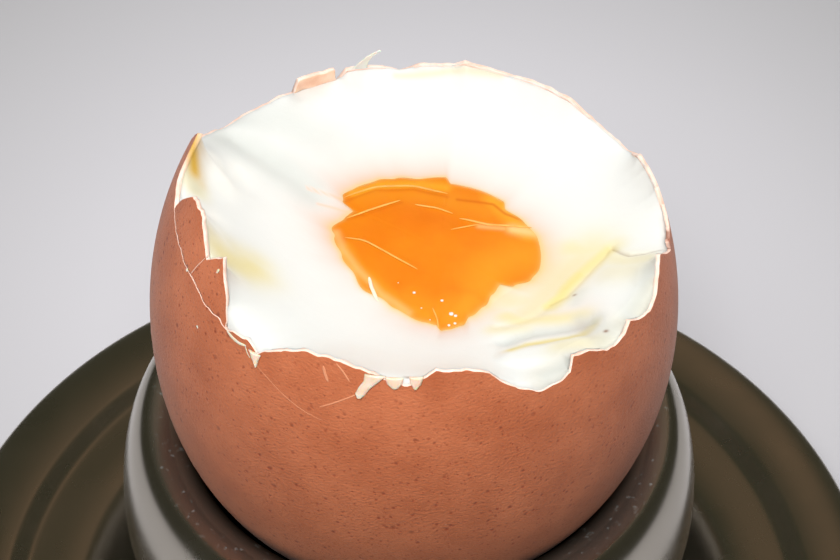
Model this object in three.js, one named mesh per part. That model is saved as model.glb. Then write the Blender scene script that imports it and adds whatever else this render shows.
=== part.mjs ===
// A soft-boiled brown egg with its top taken off, standing in a steel egg cup on its saucer.
// Millimetres, +Z up. The origin is on the table, under the middle of the saucer.
// The side the egg is eaten from faces -Y. Azimuths are in degrees: 0 is -Y, 90 is +X.
import * as THREE from 'three';
import { mergeVertices } from 'three/addons/utils/BufferGeometryUtils.js';

// ---------- driving dimensions ----------
const EQUATOR_Z = 44; // height of the egg's widest circle above the table
const EGG_OFFSET_X = 0.3; // an egg never sits quite centred in its cup
const EGG_RADIUS = 22;
const BLUNT_LENGTH = 25.3; // from the widest circle down to the blunt end
const POINTED_LENGTH = 28; // from the widest circle up to where the pointed end was

const SHELL_THICKNESS = 0.4;
const GAP = 0.1; // between pieces that touch in the real egg
const YOLK_GAP = 0.25; // the same, all round the yolk
const SHARED_RING_Z = 6; // up to this height the shell and the white have the same rings

const YOLK_RADIUS = 14.5;
const YOLK_CENTRE = new THREE.Vector3(1.2, 0.6, -6);
const YOLK_LEVEL = 5.5; // height of the bared yolk
const YOLK_DOME = 0.4; // how far its middle stands above its edge
const POOL_CENTRE = new THREE.Vector2(2.1, 1.3); // middle of the bared yolk
const POOL_RADIUS = 8.1;

const STEEL = 1; // sheet thickness of the cup and the saucer
const LIP_RADIUS = 19.5; // the ring that the egg rests on
const LIP_Z = 31.1;
const BALL_RADIUS = 25.4; // the cup at its widest
const BALL_Z = 22;
const STEM_RADIUS = 13.4;
const STEM_Z = 5;
const FOOT_RADIUS = 15.5;

const SAUCER_RADIUS = 44;
const SAUCER_FLAT_RADIUS = 25; // the flat floor that the cup is fixed to
const SAUCER_CREST_Z = 6.6; // top of the rounded rim

const EGG_COLUMNS = 72; // columns of facets round the egg
const STEEL_SEGMENTS = 48; // facets round the cup and the saucer

// ---------- the egg's own form ----------
function eggRadius(z, inset = 0) {
  const length = z < 0 ? BLUNT_LENGTH : POINTED_LENGTH;
  const ratio = THREE.MathUtils.clamp(z / (length - inset), -1, 1);
  return (EGG_RADIUS - inset) * Math.sqrt(1 - ratio * ratio);
}

function onEgg(azimuth, z, inset = 0) {
  const angle = THREE.MathUtils.degToRad(azimuth);
  const radius = eggRadius(z, inset);
  return new THREE.Vector3(radius * Math.sin(angle), -radius * Math.cos(angle), z);
}

// ---------- torn edges ----------
// A torn edge runs from corner to corner: azimuth, height above the widest circle, and how
// far the stretch up to the next corner hollows below the straight line between the two.
const SHELL_EDGE = [
  [-84, 13.5, -0.1], [-46.5, 11.8, -0.1], [-40, 12.1, 0], [-37, 11.5, 0], [-35.5, 11.9, -0.5],
  [-19, 13.4, 0], [-10.5, 13, 0], [-2, 12.1, 0.2], [5, 13.2, -0.2], [17, 12.4, 1.25],
  [36, 10.3, 0], [37.5, 11.5, 0], [43, 10.9, 0.85], [56, 10.7, 1], [71, 10.3, 0], [76, 11.4, 0],
  [84, 9.3, 0.6], [97, 9.2, 0], [101, 10.6, 0.3], [113, 10.5, 0], [121, 8.1, 0], [133, 8.5, 0],
  [140, 9.8, 0.1], [165, 9.8, 0], [168, 10.3, 0], [171, 9.4, 0], [178, 9.3, 0], [184, 8.3, 0],
  [188, 9.1, 0], [197, 9.4, 0], [199, 8.1, 0], [231, 8.2, 0], [240, 10.2, 0], [250, 12.5, 0],
  [258, 15.7, 0], [263, 15.2, 0], [267, 13.9, 0], [276, 13.5, 0],
];
// The top of the two chips that are still held over the white on the left, and the crack below.
const CHIP_EDGE = [
  [-84, 13.5, 0], [-82.5, 14.6, -0.3], [-76.5, 16.7, 0], [-69, 16.6, -0.1], [-60.1, 14.8, 0],
  [-55, 16.3, 0], [-53, 15.3, -0.3], [-46.5, 11.9, 0],
];
const CHIP_SPLIT = -62; // the crack between the two chips
const CHIP_SUNK = 0.08; // the cracked chips are pushed in a little and have lost their skin
const CHIP_THICKNESS = 0.25;

function edgeHeight(corners, azimuth) {
  for (let i = 0; i + 1 < corners.length; i += 1) {
    const [from, zFrom, hollow] = corners[i];
    const [to, zTo] = corners[i + 1];
    if (azimuth >= from && azimuth <= to) {
      const t = (azimuth - from) / (to - from);
      return zFrom + (zTo - zFrom) * t - hollow * 4 * t * (1 - t);
    }
  }
  throw new Error(`azimuth ${azimuth} is off the edge`);
}

function wrapped(azimuth, start) {
  return THREE.MathUtils.euclideanModulo(azimuth - start, 360) + start;
}

function shellTop(azimuth) {
  return edgeHeight(SHELL_EDGE, wrapped(azimuth, SHELL_EDGE[0][0]));
}

function openingTop(azimuth) {
  const a = wrapped(azimuth, SHELL_EDGE[0][0]);
  const last = CHIP_EDGE[CHIP_EDGE.length - 1][0];
  return a <= last ? edgeHeight(CHIP_EDGE, a) : edgeHeight(SHELL_EDGE, a);
}

// ---------- ways of making a solid ----------
// Closed skin over rings of points. Each ring is a function of azimuth; the first and last
// points are on the inside of the first and last ring. Rings run up outside and down inside.
function skinOverRings(firstPoint, rings, lastPoint, columns = EGG_COLUMNS) {
  const points = [firstPoint];
  for (const ring of rings) {
    for (let c = 0; c < columns; c += 1) points.push(ring((360 * c) / columns));
  }
  points.push(lastPoint);
  const at = (ring, column) => 1 + ring * columns + (column % columns);
  const index = [];
  for (let c = 0; c < columns; c += 1) {
    index.push(0, at(0, c + 1), at(0, c));
    for (let r = 0; r + 1 < rings.length; r += 1) {
      index.push(at(r, c), at(r, c + 1), at(r + 1, c + 1), at(r, c), at(r + 1, c + 1), at(r + 1, c));
    }
    index.push(at(rings.length - 1, c), at(rings.length - 1, c + 1), points.length - 1);
  }
  return new THREE.BufferGeometry().setFromPoints(points).setIndex(index);
}

// Closed plate between an outer and an inner face, both functions of (u, v) from 0 to 1,
// with u to the right and v upwards as seen from outside.
function plate(columns, rows, outer, inner) {
  const points = [];
  for (const face of [outer, inner]) {
    for (let r = 0; r <= rows; r += 1) {
      for (let c = 0; c <= columns; c += 1) points.push(face(c / columns, r / rows));
    }
  }
  const side = (columns + 1) * (rows + 1);
  const at = (c, r) => r * (columns + 1) + c;
  const index = [];
  for (let r = 0; r < rows; r += 1) {
    for (let c = 0; c < columns; c += 1) {
      const [a, b, d, e] = [at(c, r), at(c + 1, r), at(c + 1, r + 1), at(c, r + 1)];
      index.push(a, b, d, a, d, e, side + a, side + d, side + b, side + a, side + e, side + d);
    }
  }
  const border = [];
  for (let c = 0; c < columns; c += 1) border.push(at(c, 0));
  for (let r = 0; r < rows; r += 1) border.push(at(columns, r));
  for (let c = columns; c > 0; c -= 1) border.push(at(c, rows));
  for (let r = rows; r > 0; r -= 1) border.push(at(0, r));
  border.forEach((a, i) => {
    const b = border[(i + 1) % border.length];
    index.push(a, side + a, side + b, a, side + b, b);
  });
  return new THREE.BufferGeometry().setFromPoints(points).setIndex(index);
}

// A piece of shell between two azimuths and two edges, its outer face sunk below the egg's.
function shellPiece(columns, rows, from, to, bottom, top, sunk, thickness) {
  const face = (inset) => (u, v) => {
    const azimuth = from(v) + (to(v) - from(v)) * u;
    const low = bottom(azimuth);
    return onEgg(azimuth, low + (top(azimuth) - low) * v, inset);
  };
  return plate(columns, rows, face(sunk), face(sunk + thickness));
}

function piece(name, geometry, material) {
  const mesh = new THREE.Mesh(geometry, material);
  mesh.name = name;
  return mesh;
}

const range = (count, value) => Array.from({ length: count }, (_, i) => value(i));

// Rings round the egg: at even angles from the blunt end up to the widest circle, then the
// shared ring, then evenly up to the torn edge.
const LOW_RINGS = 5;
const RIM_RINGS = 2;

function eggRings(top, inset) {
  const low = range(LOW_RINGS, (i) => (azimuth) => {
    const angle = ((i + 1) / LOW_RINGS) * (Math.PI / 2);
    return onEgg(azimuth, -(BLUNT_LENGTH - inset) * Math.cos(angle), inset);
  });
  const high = range(RIM_RINGS + 1, (i) => (azimuth) => {
    const z = SHARED_RING_Z + ((top(azimuth) - SHARED_RING_Z) * i) / RIM_RINGS;
    return onEgg(azimuth, z, inset);
  });
  return [...low, ...high];
}

// ---------- shell ----------
// Brown eggshell: an even thin wall that follows the egg up to the torn edge.
function makeShell() {
  const outside = eggRings(shellTop, 0);
  const inside = eggRings(shellTop, SHELL_THICKNESS).reverse();
  const blunt = (inset) => new THREE.Vector3(0, 0, -BLUNT_LENGTH + inset);
  return skinOverRings(blunt(0), [...outside, ...inside], blunt(SHELL_THICKNESS));
}

// Two cracked chips on the left, between the long crack and the torn edge.
function makeChips() {
  const bottom = (azimuth) => edgeHeight(SHELL_EDGE, azimuth) + GAP;
  const top = (azimuth) => Math.max(edgeHeight(CHIP_EDGE, azimuth), bottom(azimuth) + 0.3);
  const split = (v) => CHIP_SPLIT + 3 * (v - 0.5);
  const start = () => CHIP_EDGE[0][0] + 0.4;
  const end = () => CHIP_EDGE[CHIP_EDGE.length - 1][0] - 1.2;
  return [
    shellPiece(8, 3, start, (v) => split(v) - 0.3, bottom, top, CHIP_SUNK, CHIP_THICKNESS),
    shellPiece(7, 3, (v) => split(v) + 0.3, end, bottom, top, CHIP_SUNK, CHIP_THICKNESS),
  ];
}

// A small piece of shell that stands up from the far edge, and a sliver on the right.
function makeFragments() {
  const above = (lift) => (azimuth) => shellTop(azimuth) + lift;
  const far = shellPiece(5, 2, () => 199.5, () => 210.5, above(GAP), () => 9.9, 0, SHELL_THICKNESS);
  const sliver = shellPiece(8, 1, () => 85, () => 97, above(2 * GAP), above(0.8), 0, CHIP_THICKNESS);
  return [far, sliver];
}

// ---------- yolk ----------
// Outline of the bared yolk: a round pool with lobes, each an azimuth, a half width and a reach.
const POOL_LOBES = [
  [3, 22, 1.3], [46, 20, -1.9], [80, 30, 0.5], [-40, 55, -1.2], [-130, 42, 2.1], [165, 30, 0.4],
];

function poolEdge(azimuth) {
  const angle = THREE.MathUtils.degToRad(azimuth);
  let radius = POOL_RADIUS;
  for (const [centre, halfWidth, reach] of POOL_LOBES) {
    const away = Math.abs(wrapped(azimuth - centre, -180)) / halfWidth;
    if (away < 1) radius += reach * Math.cos((away * Math.PI) / 2) ** 2;
  }
  const x = POOL_CENTRE.x + radius * Math.sin(angle);
  const y = POOL_CENTRE.y - radius * Math.cos(angle);
  return new THREE.Vector3(x, y, YOLK_LEVEL);
}

// Rings of the yolk from its edge down to its underside. The edge goes over into a sphere.
const YOLK_RINGS = 5;
function yolkRings(inset) {
  const topAngle = Math.acos((YOLK_LEVEL - YOLK_CENTRE.z) / YOLK_RADIUS);
  return range(YOLK_RINGS, (i) => (azimuth) => {
    const fraction = i / YOLK_RINGS;
    const polar = topAngle + (Math.PI - topAngle) * fraction;
    const angle = THREE.MathUtils.degToRad(azimuth);
    const radius = (YOLK_RADIUS - inset) * Math.sin(polar);
    const sphere = new THREE.Vector3(
      YOLK_CENTRE.x + radius * Math.sin(angle),
      YOLK_CENTRE.y - radius * Math.cos(angle),
      YOLK_CENTRE.z + (YOLK_RADIUS - inset) * Math.cos(polar),
    );
    const middle = new THREE.Vector3(POOL_CENTRE.x, POOL_CENTRE.y, YOLK_LEVEL);
    const edge = poolEdge(azimuth);
    edge.lerp(middle, inset / edge.distanceTo(middle));
    return edge.lerp(sphere, Math.min(1, fraction * 2));
  });
}

function yolkBottom(inset) {
  return new THREE.Vector3(YOLK_CENTRE.x, YOLK_CENTRE.y, YOLK_CENTRE.z - YOLK_RADIUS + inset);
}

function makeYolk() {
  const middle = new THREE.Vector3(POOL_CENTRE.x, POOL_CENTRE.y, YOLK_LEVEL + YOLK_DOME);
  const edge = yolkRings(YOLK_GAP);
  const dome = [0.66, 0.33].map((share) => (azimuth) => {
    const point = edge[0](azimuth).lerp(middle, 1 - share);
    point.z = YOLK_LEVEL + YOLK_DOME * (1 - share * share);
    return point;
  });
  return skinOverRings(yolkBottom(YOLK_GAP), [...edge.reverse(), ...dome], middle);
}

// ---------- white ----------
// Folds left by the spoon: start, end, half width and depth, in mm; a depth below zero is a lobe.
const WHITE_FOLDS = [
  { from: [17.8, -3.2], to: [13.2, -4.8], halfWidth: 1.3, depth: 0.8 }, // cleft from the edge
  { from: [13.2, -4.8], to: [10.2, -7.6], halfWidth: 1.3, depth: 0.7 },
  { from: [7.2, -13.2], to: [13, -11.2], halfWidth: 1.3, depth: 1.1 }, // groove in front of it
  { from: [15, -8.2], to: [13, -8.8], halfWidth: 1.9, depth: -0.9 }, // lobe between the two
  { from: [-15, 12.4], to: [-7.2, 5.4], halfWidth: 1.8, depth: 0.5 }, // shallow valley at the back
];
const WHITE_RIM_DROP = 0.15; // the white ends just under the shell's edge
const SCOOP_RIM = { level: 11, towardFront: 1.6, towardLeft: 1.5 }; // tilted ring it is cut to
const SCOOP_ROUNDING = 0.35; // how much flatter the scoop gets towards the yolk
const EDGE_REACH = 5; // the higher, the sooner the torn edge's ups and downs die out inwards

function foldDepth(x, y) {
  const point = new THREE.Vector3(x, y, 0);
  let depth = 0;
  for (const { from, to, halfWidth, depth: full } of WHITE_FOLDS) {
    const line = new THREE.Line3(new THREE.Vector3(...from, 0), new THREE.Vector3(...to, 0));
    const nearest = line.closestPointToPoint(point, true, new THREE.Vector3());
    depth += full * Math.exp(-((point.distanceTo(nearest) / halfWidth) ** 2));
  }
  return depth;
}

// The scooped top, from the shell's edge (t = 0) down to the yolk's edge (t = 1).
function scoopPoint(azimuth, t) {
  const outer = onEgg(azimuth, openingTop(azimuth) - WHITE_RIM_DROP, SHELL_THICKNESS + GAP);
  const inner = poolEdge(azimuth);
  const point = outer.clone().lerp(inner, t);
  const angle = THREE.MathUtils.degToRad(azimuth);
  const { level, towardFront, towardLeft } = SCOOP_RIM;
  const even = level + towardFront * Math.cos(angle) - towardLeft * Math.sin(angle);
  const fall = (1 - t) * (1 - SCOOP_ROUNDING * t);
  const fade = Math.min(1, 6 * t * (1 - t)); // folds die out at both edges
  point.z = inner.z + (even - inner.z) * fall + (outer.z - even) * (1 - t) ** EDGE_REACH;
  point.z -= fade * foldDepth(point.x, point.y);
  return point;
}

const SCOOP_RINGS = 8;
function makeWhite() {
  const inset = SHELL_THICKNESS + GAP;
  const outside = eggRings((azimuth) => openingTop(azimuth) - WHITE_RIM_DROP, inset);
  const scoop = range(SCOOP_RINGS, (i) => (azimuth) => scoopPoint(azimuth, (i + 1) / (SCOOP_RINGS + 1)));
  const blunt = new THREE.Vector3(0, 0, -BLUNT_LENGTH + inset);
  return skinOverRings(blunt, [...outside, ...scoop, ...yolkRings(0)], yolkBottom(0));
}

// ---------- skin under the shell ----------
// Shreds of the skin hang over the torn edge in front: azimuth and height of the tip, azimuth
// where they leave the edge, and width there in degrees.
const SHREDS = [
  { tip: [-36.3, 10.8], root: -37.2, width: 3 },
  { tip: [-12.4, 11], root: -8.8, width: 4 },
  { tip: [-4.2, 11.9], root: -4.6, width: 3 },
  { tip: [0.6, 11.9], root: 0.2, width: 3 },
];
const SKIN = 0.25; // thickness of a wet, folded shred

function makeShred({ tip, root, width }) {
  const face = (proud) => (u, v) => {
    const span = width * (0.15 + 0.85 * v);
    const azimuth = tip[0] + (root - tip[0]) * v + span * (u - 0.5);
    return onEgg(azimuth, tip[1] + (shellTop(root) - tip[1]) * v, -proud);
  };
  return plate(2, 4, face(GAP + SKIN), face(GAP));
}

// A wisp of skin stands up from the far edge.
const WISP = { azimuth: 191, width: 3, height: 2.4, lean: 4 };
function makeWisp() {
  const foot = shellTop(WISP.azimuth) + 2 * GAP;
  const face = (inset) => (u, v) => {
    const span = WISP.width * (1 - 0.8 * v);
    const azimuth = WISP.azimuth - WISP.lean * v * v + span * (u - 0.5);
    return onEgg(azimuth, foot + WISP.height * v, inset);
  };
  return plate(2, 4, face(0), face(SKIN));
}

// ---------- steel ----------
// Points along a cubic Bezier curve in the profile plane: radius and height.
function bend(from, pullFrom, pullTo, to, count) {
  const vectors = [from, pullFrom, pullTo, to].map(([radius, z]) => new THREE.Vector2(radius, z));
  return new THREE.CubicBezierCurve(...vectors).getPoints(count);
}

// Sheet steel: the profile runs from the axis out along the side that shows. The other side is
// the same line moved by the sheet thickness, to the left of that run (1) or to its right (-1).
function spunSheet(profile, side) {
  const moved = profile.map((point, i) => {
    const before = profile[Math.max(0, i - 1)];
    const after = profile[Math.min(profile.length - 1, i + 1)];
    const along = after.clone().sub(before).normalize();
    const shift = new THREE.Vector2(-along.y, along.x).multiplyScalar(side * STEEL);
    const result = point.clone().add(shift);
    if (point.x === 0) result.set(0, point.y + side * STEEL);
    return result;
  });
  const [under, over] = side > 0 ? [profile, moved] : [moved, profile];
  const lathe = new THREE.LatheGeometry([...under, ...over.reverse()], STEEL_SEGMENTS);
  lathe.rotateX(Math.PI / 2);
  lathe.deleteAttribute('normal');
  lathe.deleteAttribute('uv');
  return mergeVertices(lathe, 1e-3);
}

// Ball-shaped bowl with its edge turned in to a lip, on a short flared stem.
function makeCup() {
  const base = STEEL + 0.05;
  const profile = [
    new THREE.Vector2(0, base),
    new THREE.Vector2(FOOT_RADIUS, base),
    ...bend([FOOT_RADIUS, base + 1], [STEM_RADIUS, base + 1.6], [STEM_RADIUS, 4], [STEM_RADIUS, STEM_Z], 3),
    ...bend([STEM_RADIUS + 1.6, STEM_Z + 2], [20.5, 9.5], [BALL_RADIUS, 14.5], [BALL_RADIUS, BALL_Z], 5),
    ...bend([BALL_RADIUS, BALL_Z], [BALL_RADIUS, 28.2], [22.9, 31.9], [LIP_RADIUS, LIP_Z], 6).slice(1),
  ];
  return spunSheet(profile, 1);
}

// Pressed dish: flat floor, a hollowed wall, a low band, a groove and a rounded rim.
function makeSaucer() {
  const profile = [
    new THREE.Vector2(0, STEEL),
    ...bend([SAUCER_FLAT_RADIUS, STEEL], [29, STEEL], [31.5, 2.6], [34.2, 4.6], 4),
    ...bend([35.6, 5.3], [36.6, 5.6], [38, 5.5], [39.2, 5.1], 2),
    ...bend([40, 5.5], [40.8, SAUCER_CREST_Z], [43.4, SAUCER_CREST_Z + 0.5], [SAUCER_RADIUS, 5.2], 5),
  ];
  return spunSheet(profile, -1);
}

// ---------- assembly ----------
const finish = (color, roughness, metalness = 0) =>
  new THREE.MeshStandardMaterial({ color, roughness, metalness });
const steel = finish(0x8f8a80, 0.25, 1);
const shellBrown = finish(0xbe6c4a, 0.55);
const eggWhite = finish(0xfaf9f3, 0.35);
const eggYolk = finish(0xfb8f20, 0.15);
const skinWhite = finish(0xf2e9dc, 0.4);

const cup = new THREE.Group();
cup.add(piece('saucer', makeSaucer(), steel));
cup.add(piece('egg_cup', makeCup(), steel));

const egg = new THREE.Group();
egg.position.set(EGG_OFFSET_X, 0, EQUATOR_Z);
egg.add(piece('shell', makeShell(), shellBrown));
makeChips().forEach((geometry, i) => egg.add(piece(`shell_chip_${i + 1}`, geometry, shellBrown)));
const [farFragment, sliver] = makeFragments();
egg.add(piece('shell_fragment_far', farFragment, shellBrown));
egg.add(piece('shell_sliver_right', sliver, shellBrown));
egg.add(piece('egg_white', makeWhite(), eggWhite));
egg.add(piece('yolk', makeYolk(), eggYolk));
SHREDS.forEach((shred, i) => egg.add(piece(`skin_shred_${i + 1}`, makeShred(shred), skinWhite)));
egg.add(piece('skin_wisp', makeWisp(), skinWhite));

const group = new THREE.Group();
group.add(cup, egg);

export default group;
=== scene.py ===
"""A soft-boiled brown egg with its top taken off, in a steel egg cup fixed to a saucer.

Sizes are in millimetres unless they say otherwise. The egg's own points are measured from
the middle of its widest circle; azimuth 0 faces -Y, the near side, and 90 faces +X.
"""
import math

import bpy
import numpy as np
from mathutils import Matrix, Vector


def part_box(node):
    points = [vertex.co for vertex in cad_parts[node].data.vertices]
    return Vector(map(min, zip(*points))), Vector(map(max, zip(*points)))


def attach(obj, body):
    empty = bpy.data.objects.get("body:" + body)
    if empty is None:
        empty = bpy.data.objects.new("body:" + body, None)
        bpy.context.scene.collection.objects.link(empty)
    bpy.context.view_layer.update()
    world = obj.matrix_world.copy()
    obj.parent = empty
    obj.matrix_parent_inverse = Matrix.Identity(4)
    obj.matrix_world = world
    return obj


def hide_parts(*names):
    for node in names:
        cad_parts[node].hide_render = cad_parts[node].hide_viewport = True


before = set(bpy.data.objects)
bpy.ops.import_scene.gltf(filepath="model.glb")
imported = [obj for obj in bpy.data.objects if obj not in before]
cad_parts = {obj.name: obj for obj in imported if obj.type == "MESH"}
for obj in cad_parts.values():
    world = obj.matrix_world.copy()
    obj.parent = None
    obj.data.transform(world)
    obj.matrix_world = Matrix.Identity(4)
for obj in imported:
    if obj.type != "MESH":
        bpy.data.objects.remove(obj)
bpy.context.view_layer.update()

# ---------------------------------------------------------------------------
# Saucer: a round dish pressed from 1 mm stainless steel and polished. Its floor is flat,
# its wall rises to a low band and steps up to a rounded rim.
# ---------------------------------------------------------------------------
METRES = 0.001  # one millimetre
SHEET = 1.0
SEGMENTS = 256
SAUCER_RADIUS = 44.0
FLOOR_RADIUS = 25.0


def bend(start, pull_start, pull_end, end, count):
    """Cubic curve from start to end: the four points weighted (1-t)^3, 3t(1-t)^2, 3t^2(1-t)
    and t^3, for count values of t from 0 to 1."""
    t = np.linspace(0.0, 1.0, count)[:, None]
    points = [np.asarray(p, float) for p in (start, pull_start, pull_end, end)]
    weights = ((1 - t) ** 3, 3 * t * (1 - t) ** 2, 3 * t**2 * (1 - t), t**3)
    return sum(w * p for w, p in zip(weights, points))


def sheet_outline(shown, side):
    """Outline of a sheet: the side that shows, a half circle round its free edge, and the
    same line moved by the sheet thickness to its left (side 1) or its right (side -1)."""
    along = np.gradient(shown, axis=0)
    along /= np.linalg.norm(along, axis=1)[:, None]
    across = np.stack([-along[:, 1], along[:, 0]], 1) * side * SHEET
    other = shown + across
    other[0, 0] = 0.0
    turn = np.linspace(0.0, math.pi, 9)[1:-1, None]
    middle = (shown[-1] + other[-1]) / 2
    edge = middle - across[-1] / 2 * np.cos(turn) + along[-1] * SHEET / 2 * np.sin(turn)
    outline = np.concatenate([shown, edge, other[::-1]])
    return outline if side > 0 else outline[::-1]


def ring_faces(rings, columns):
    """Faces over rings of points that close round a loop, with a fan to a single first
    point and to a single last point. Point 0 is the first, then ring by ring."""
    column = np.arange(columns)
    beside = (column + 1) % columns
    start = 1 + np.arange(rings - 1)[:, None] * columns
    low, low_next = start + column, start + beside
    quads = np.stack([low, low_next, low_next + columns, low + columns], -1).reshape(-1, 4)
    last = 1 + (rings - 1) * columns
    first_fan = np.stack([np.zeros_like(column), 1 + beside, 1 + column], -1)
    last_fan = np.stack([last + column, last + beside, np.full_like(column, last + columns)], -1)
    return quads.tolist() + first_fan.tolist() + last_fan.tolist()


def close_rings(ends, rings):
    """Points and faces of a closed shape: an end point, rings of points, the other end point."""
    return np.concatenate([ends[:1], rings.reshape(-1, 3), ends[1:]]), ring_faces(*rings.shape[:2])


def add_piece(name, points, faces, materials, slot_name, stands_for=(), face_materials=None, marks=None):
    """Puts points in millimetres and faces into a smooth mesh object on the root body, with
    one float attribute for each mark."""
    mesh = bpy.data.meshes.new(name)
    mesh.from_pydata((np.asarray(points) * METRES).tolist(), [], faces)
    mesh.polygons.foreach_set("use_smooth", np.ones(len(faces), bool))
    for material in materials:
        mesh.materials.append(material)
    if face_materials is not None:
        mesh.polygons.foreach_set("material_index", np.asarray(face_materials, np.int32))
    for mark, values in (marks or {}).items():
        attribute = mesh.attributes.new(mark, "FLOAT", "POINT")
        attribute.data.foreach_set("value", np.asarray(values, np.float32))
    mesh.update()
    piece = bpy.data.objects.new(name, mesh)
    bpy.context.scene.collection.objects.link(piece)
    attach(piece, "root")
    if stands_for:
        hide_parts(*stands_for)
    return piece


def spin(name, outline, material, slot_name, node):
    """Turns an outline of (radius, height) about the Z axis; it starts and ends on the axis."""
    angle = np.linspace(0.0, 2 * math.pi, SEGMENTS, endpoint=False)
    radius, height = outline[1:-1, 0, None], outline[1:-1, 1, None]
    level = np.broadcast_to(height, (len(radius), SEGMENTS))
    rings = np.stack([radius * np.sin(angle), -radius * np.cos(angle), level], -1)
    ends = np.array([[0.0, 0.0, outline[0, 1]], [0.0, 0.0, outline[-1, 1]]])
    return add_piece(name, *close_rings(ends, rings), [material], slot_name, (node,))


def srgb(red, green, blue):
    """Screen colour, 0 to 255, as the linear colour that shaders take."""
    value = np.array([red, green, blue]) / 255
    linear = np.where(value <= 0.04045, value / 12.92, ((value + 0.055) / 1.055) ** 2.4)
    return (*linear.tolist(), 1.0)


def start_material(name, **sockets):
    """New material with its main shader's sockets set. Returns the material and the shader."""
    material = bpy.data.materials.new(name)
    material.use_nodes = True
    shader = material.node_tree.nodes["Principled BSDF"]
    for socket, value in sockets.items():
        shader.inputs[socket.replace("_", " ")].default_value = value
    return material, shader


def add_node(material, kind, inputs=None, **settings):
    """Adds a node; inputs maps a socket to a value or to another node's output socket."""
    node = material.node_tree.nodes.new(kind)
    for setting, value in settings.items():
        setattr(node, setting, value)
    for socket, value in (inputs or {}).items():
        if isinstance(value, bpy.types.NodeSocket):
            material.node_tree.links.new(value, node.inputs[socket])
        else:
            node.inputs[socket].default_value = value
    return node


def connect(material, output, shader, socket):
    """Links an output socket to one of the shader's sockets."""
    material.node_tree.links.new(output, shader.inputs[socket])


def colour_between(material, first, second, factor):
    """Mixes two colours, or sockets that give one, by a factor socket."""
    inputs = {"Factor": factor, 6: first, 7: second}
    return add_node(material, "ShaderNodeMix", inputs, data_type="RGBA").outputs[2]


def own_place(material):
    """The piece's own coordinates, in metres."""
    return add_node(material, "ShaderNodeTexCoord").outputs["Object"]


def from_axis(material, place):
    """Distance of a place from the Z axis, and its height."""
    axes = add_node(material, "ShaderNodeSeparateXYZ", {0: place}).outputs
    flat = add_node(material, "ShaderNodeCombineXYZ", {0: axes[0], 1: axes[1]}).outputs[0]
    length = add_node(material, "ShaderNodeVectorMath", {0: flat}, operation="LENGTH")
    return length.outputs["Value"], axes[2]


def noise(material, place, scale, detail, **sockets):
    """Soft noise from 0 to 1, its scale in lumps per metre."""
    inputs = {"Vector": place, "Scale": scale, "Detail": detail, **sockets}
    return add_node(material, "ShaderNodeTexNoise", inputs).outputs["Fac"]


def between(material, value, low, high, to_low=0.0, to_high=1.0, **settings):
    """A value's place between low and high, carried to between to_low and to_high."""
    inputs = {"Value": value, "From Min": low, "From Max": high, "To Min": to_low, "To Max": to_high}
    return add_node(material, "ShaderNodeMapRange", inputs, **settings).outputs[0]


def add_bump(material, shader, height, strength, distance):
    """Relief in the shading from a height socket, its full depth a distance in metres."""
    inputs = {"Height": height, "Strength": strength, "Distance": distance}
    connect(material, add_node(material, "ShaderNodeBump", inputs).outputs["Normal"], shader, "Normal")


def steel_finish(name, colour, roughness, haze):
    """Polished steel: fine rings left by the polishing wheel, faint smears and scuffs."""
    material, shader = start_material(name, Metallic=1.0, Base_Color=colour)
    place = own_place(material)
    radius, height = from_axis(material, place)
    line = add_node(material, "ShaderNodeCombineXYZ", {0: radius, 1: height}).outputs[0]
    rings = noise(material, line, scale=6500.0, detail=2.0)
    smears = noise(material, place, scale=160.0, detail=5.0)
    connect(material, between(material, smears, 0.3, 0.75, roughness, haze), shader, "Roughness")
    add_bump(material, shader, rings, strength=0.06, distance=0.00003)
    return material


saucer_steel = steel_finish("saucer_steel", (0.58, 0.55, 0.49, 1.0), roughness=0.24, haze=0.36)
saucer_shown = np.concatenate(
    [
        [[0.0, SHEET]],
        bend([FLOOR_RADIUS, SHEET], [27.0, 1.2], [29.2, 4.7], [31.2, 5.1], 24),
        bend([31.2, 5.1], [32.6, 5.35], [34.4, 5.36], [36.0, 5.46], 14)[1:],
        bend([36.0, 5.46], [36.7, 5.52], [37.3, 6.12], [38.0, 6.26], 14)[1:],
        bend([38.0, 6.26], [39.6, 6.5], [42.4, 6.62], [SAUCER_RADIUS - 0.33, 6.0], 20)[1:],
    ]
)
spin("pressed_saucer", sheet_outline(saucer_shown, -1), saucer_steel, "steel", "saucer")

# ---------------------------------------------------------------------------
# Egg cup: a ball-shaped bowl of 1 mm stainless steel, spun over a form so that its edge
# turns in to the lip the egg rests on, and welded to the saucer by a short flared stem.
# ---------------------------------------------------------------------------
CREST_RADIUS = 22.4
CREST_LIP_Z = 31.45
LIP_RADIUS = 19.16
LIP_Z = 30.2
BALL_RADIUS = 25.4
BALL_Z = 22.0
STEM_RADIUS = 13.4
STEM_Z = 5.0
FOOT_RADIUS = 15.5
FOOT_Z = 1.05
CUP_COLOUR = (0.57, 0.53, 0.47, 1.0)
NICK_COLOUR = (0.6, 0.66, 0.68, 1.0)
LIP_SHADE_COLOUR = (0.07, 0.055, 0.035, 1.0)
# In metres. The egg and spoons rub the lip inside WORN_RADIUS and above WORN_Z. Inside the first radius of
# the shade ring the steel is painted dark, a painted shade where the egg shadows the lip, the stem with it;
# outside the second it keeps its own colour.
WORN_RADIUS = 0.0229
WORN_FADE = 0.0007
WORN_Z = 0.029
NICK_DULLING = 0.12
WORN_ROUGHENING = 0.1
LIP_SHADE_RING = (0.0190, 0.0212)


def arithmetic(material, operation, *values):
    """One step of arithmetic between numbers or sockets."""
    return add_node(material, "ShaderNodeMath", dict(enumerate(values)), operation=operation).outputs[0]


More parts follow.
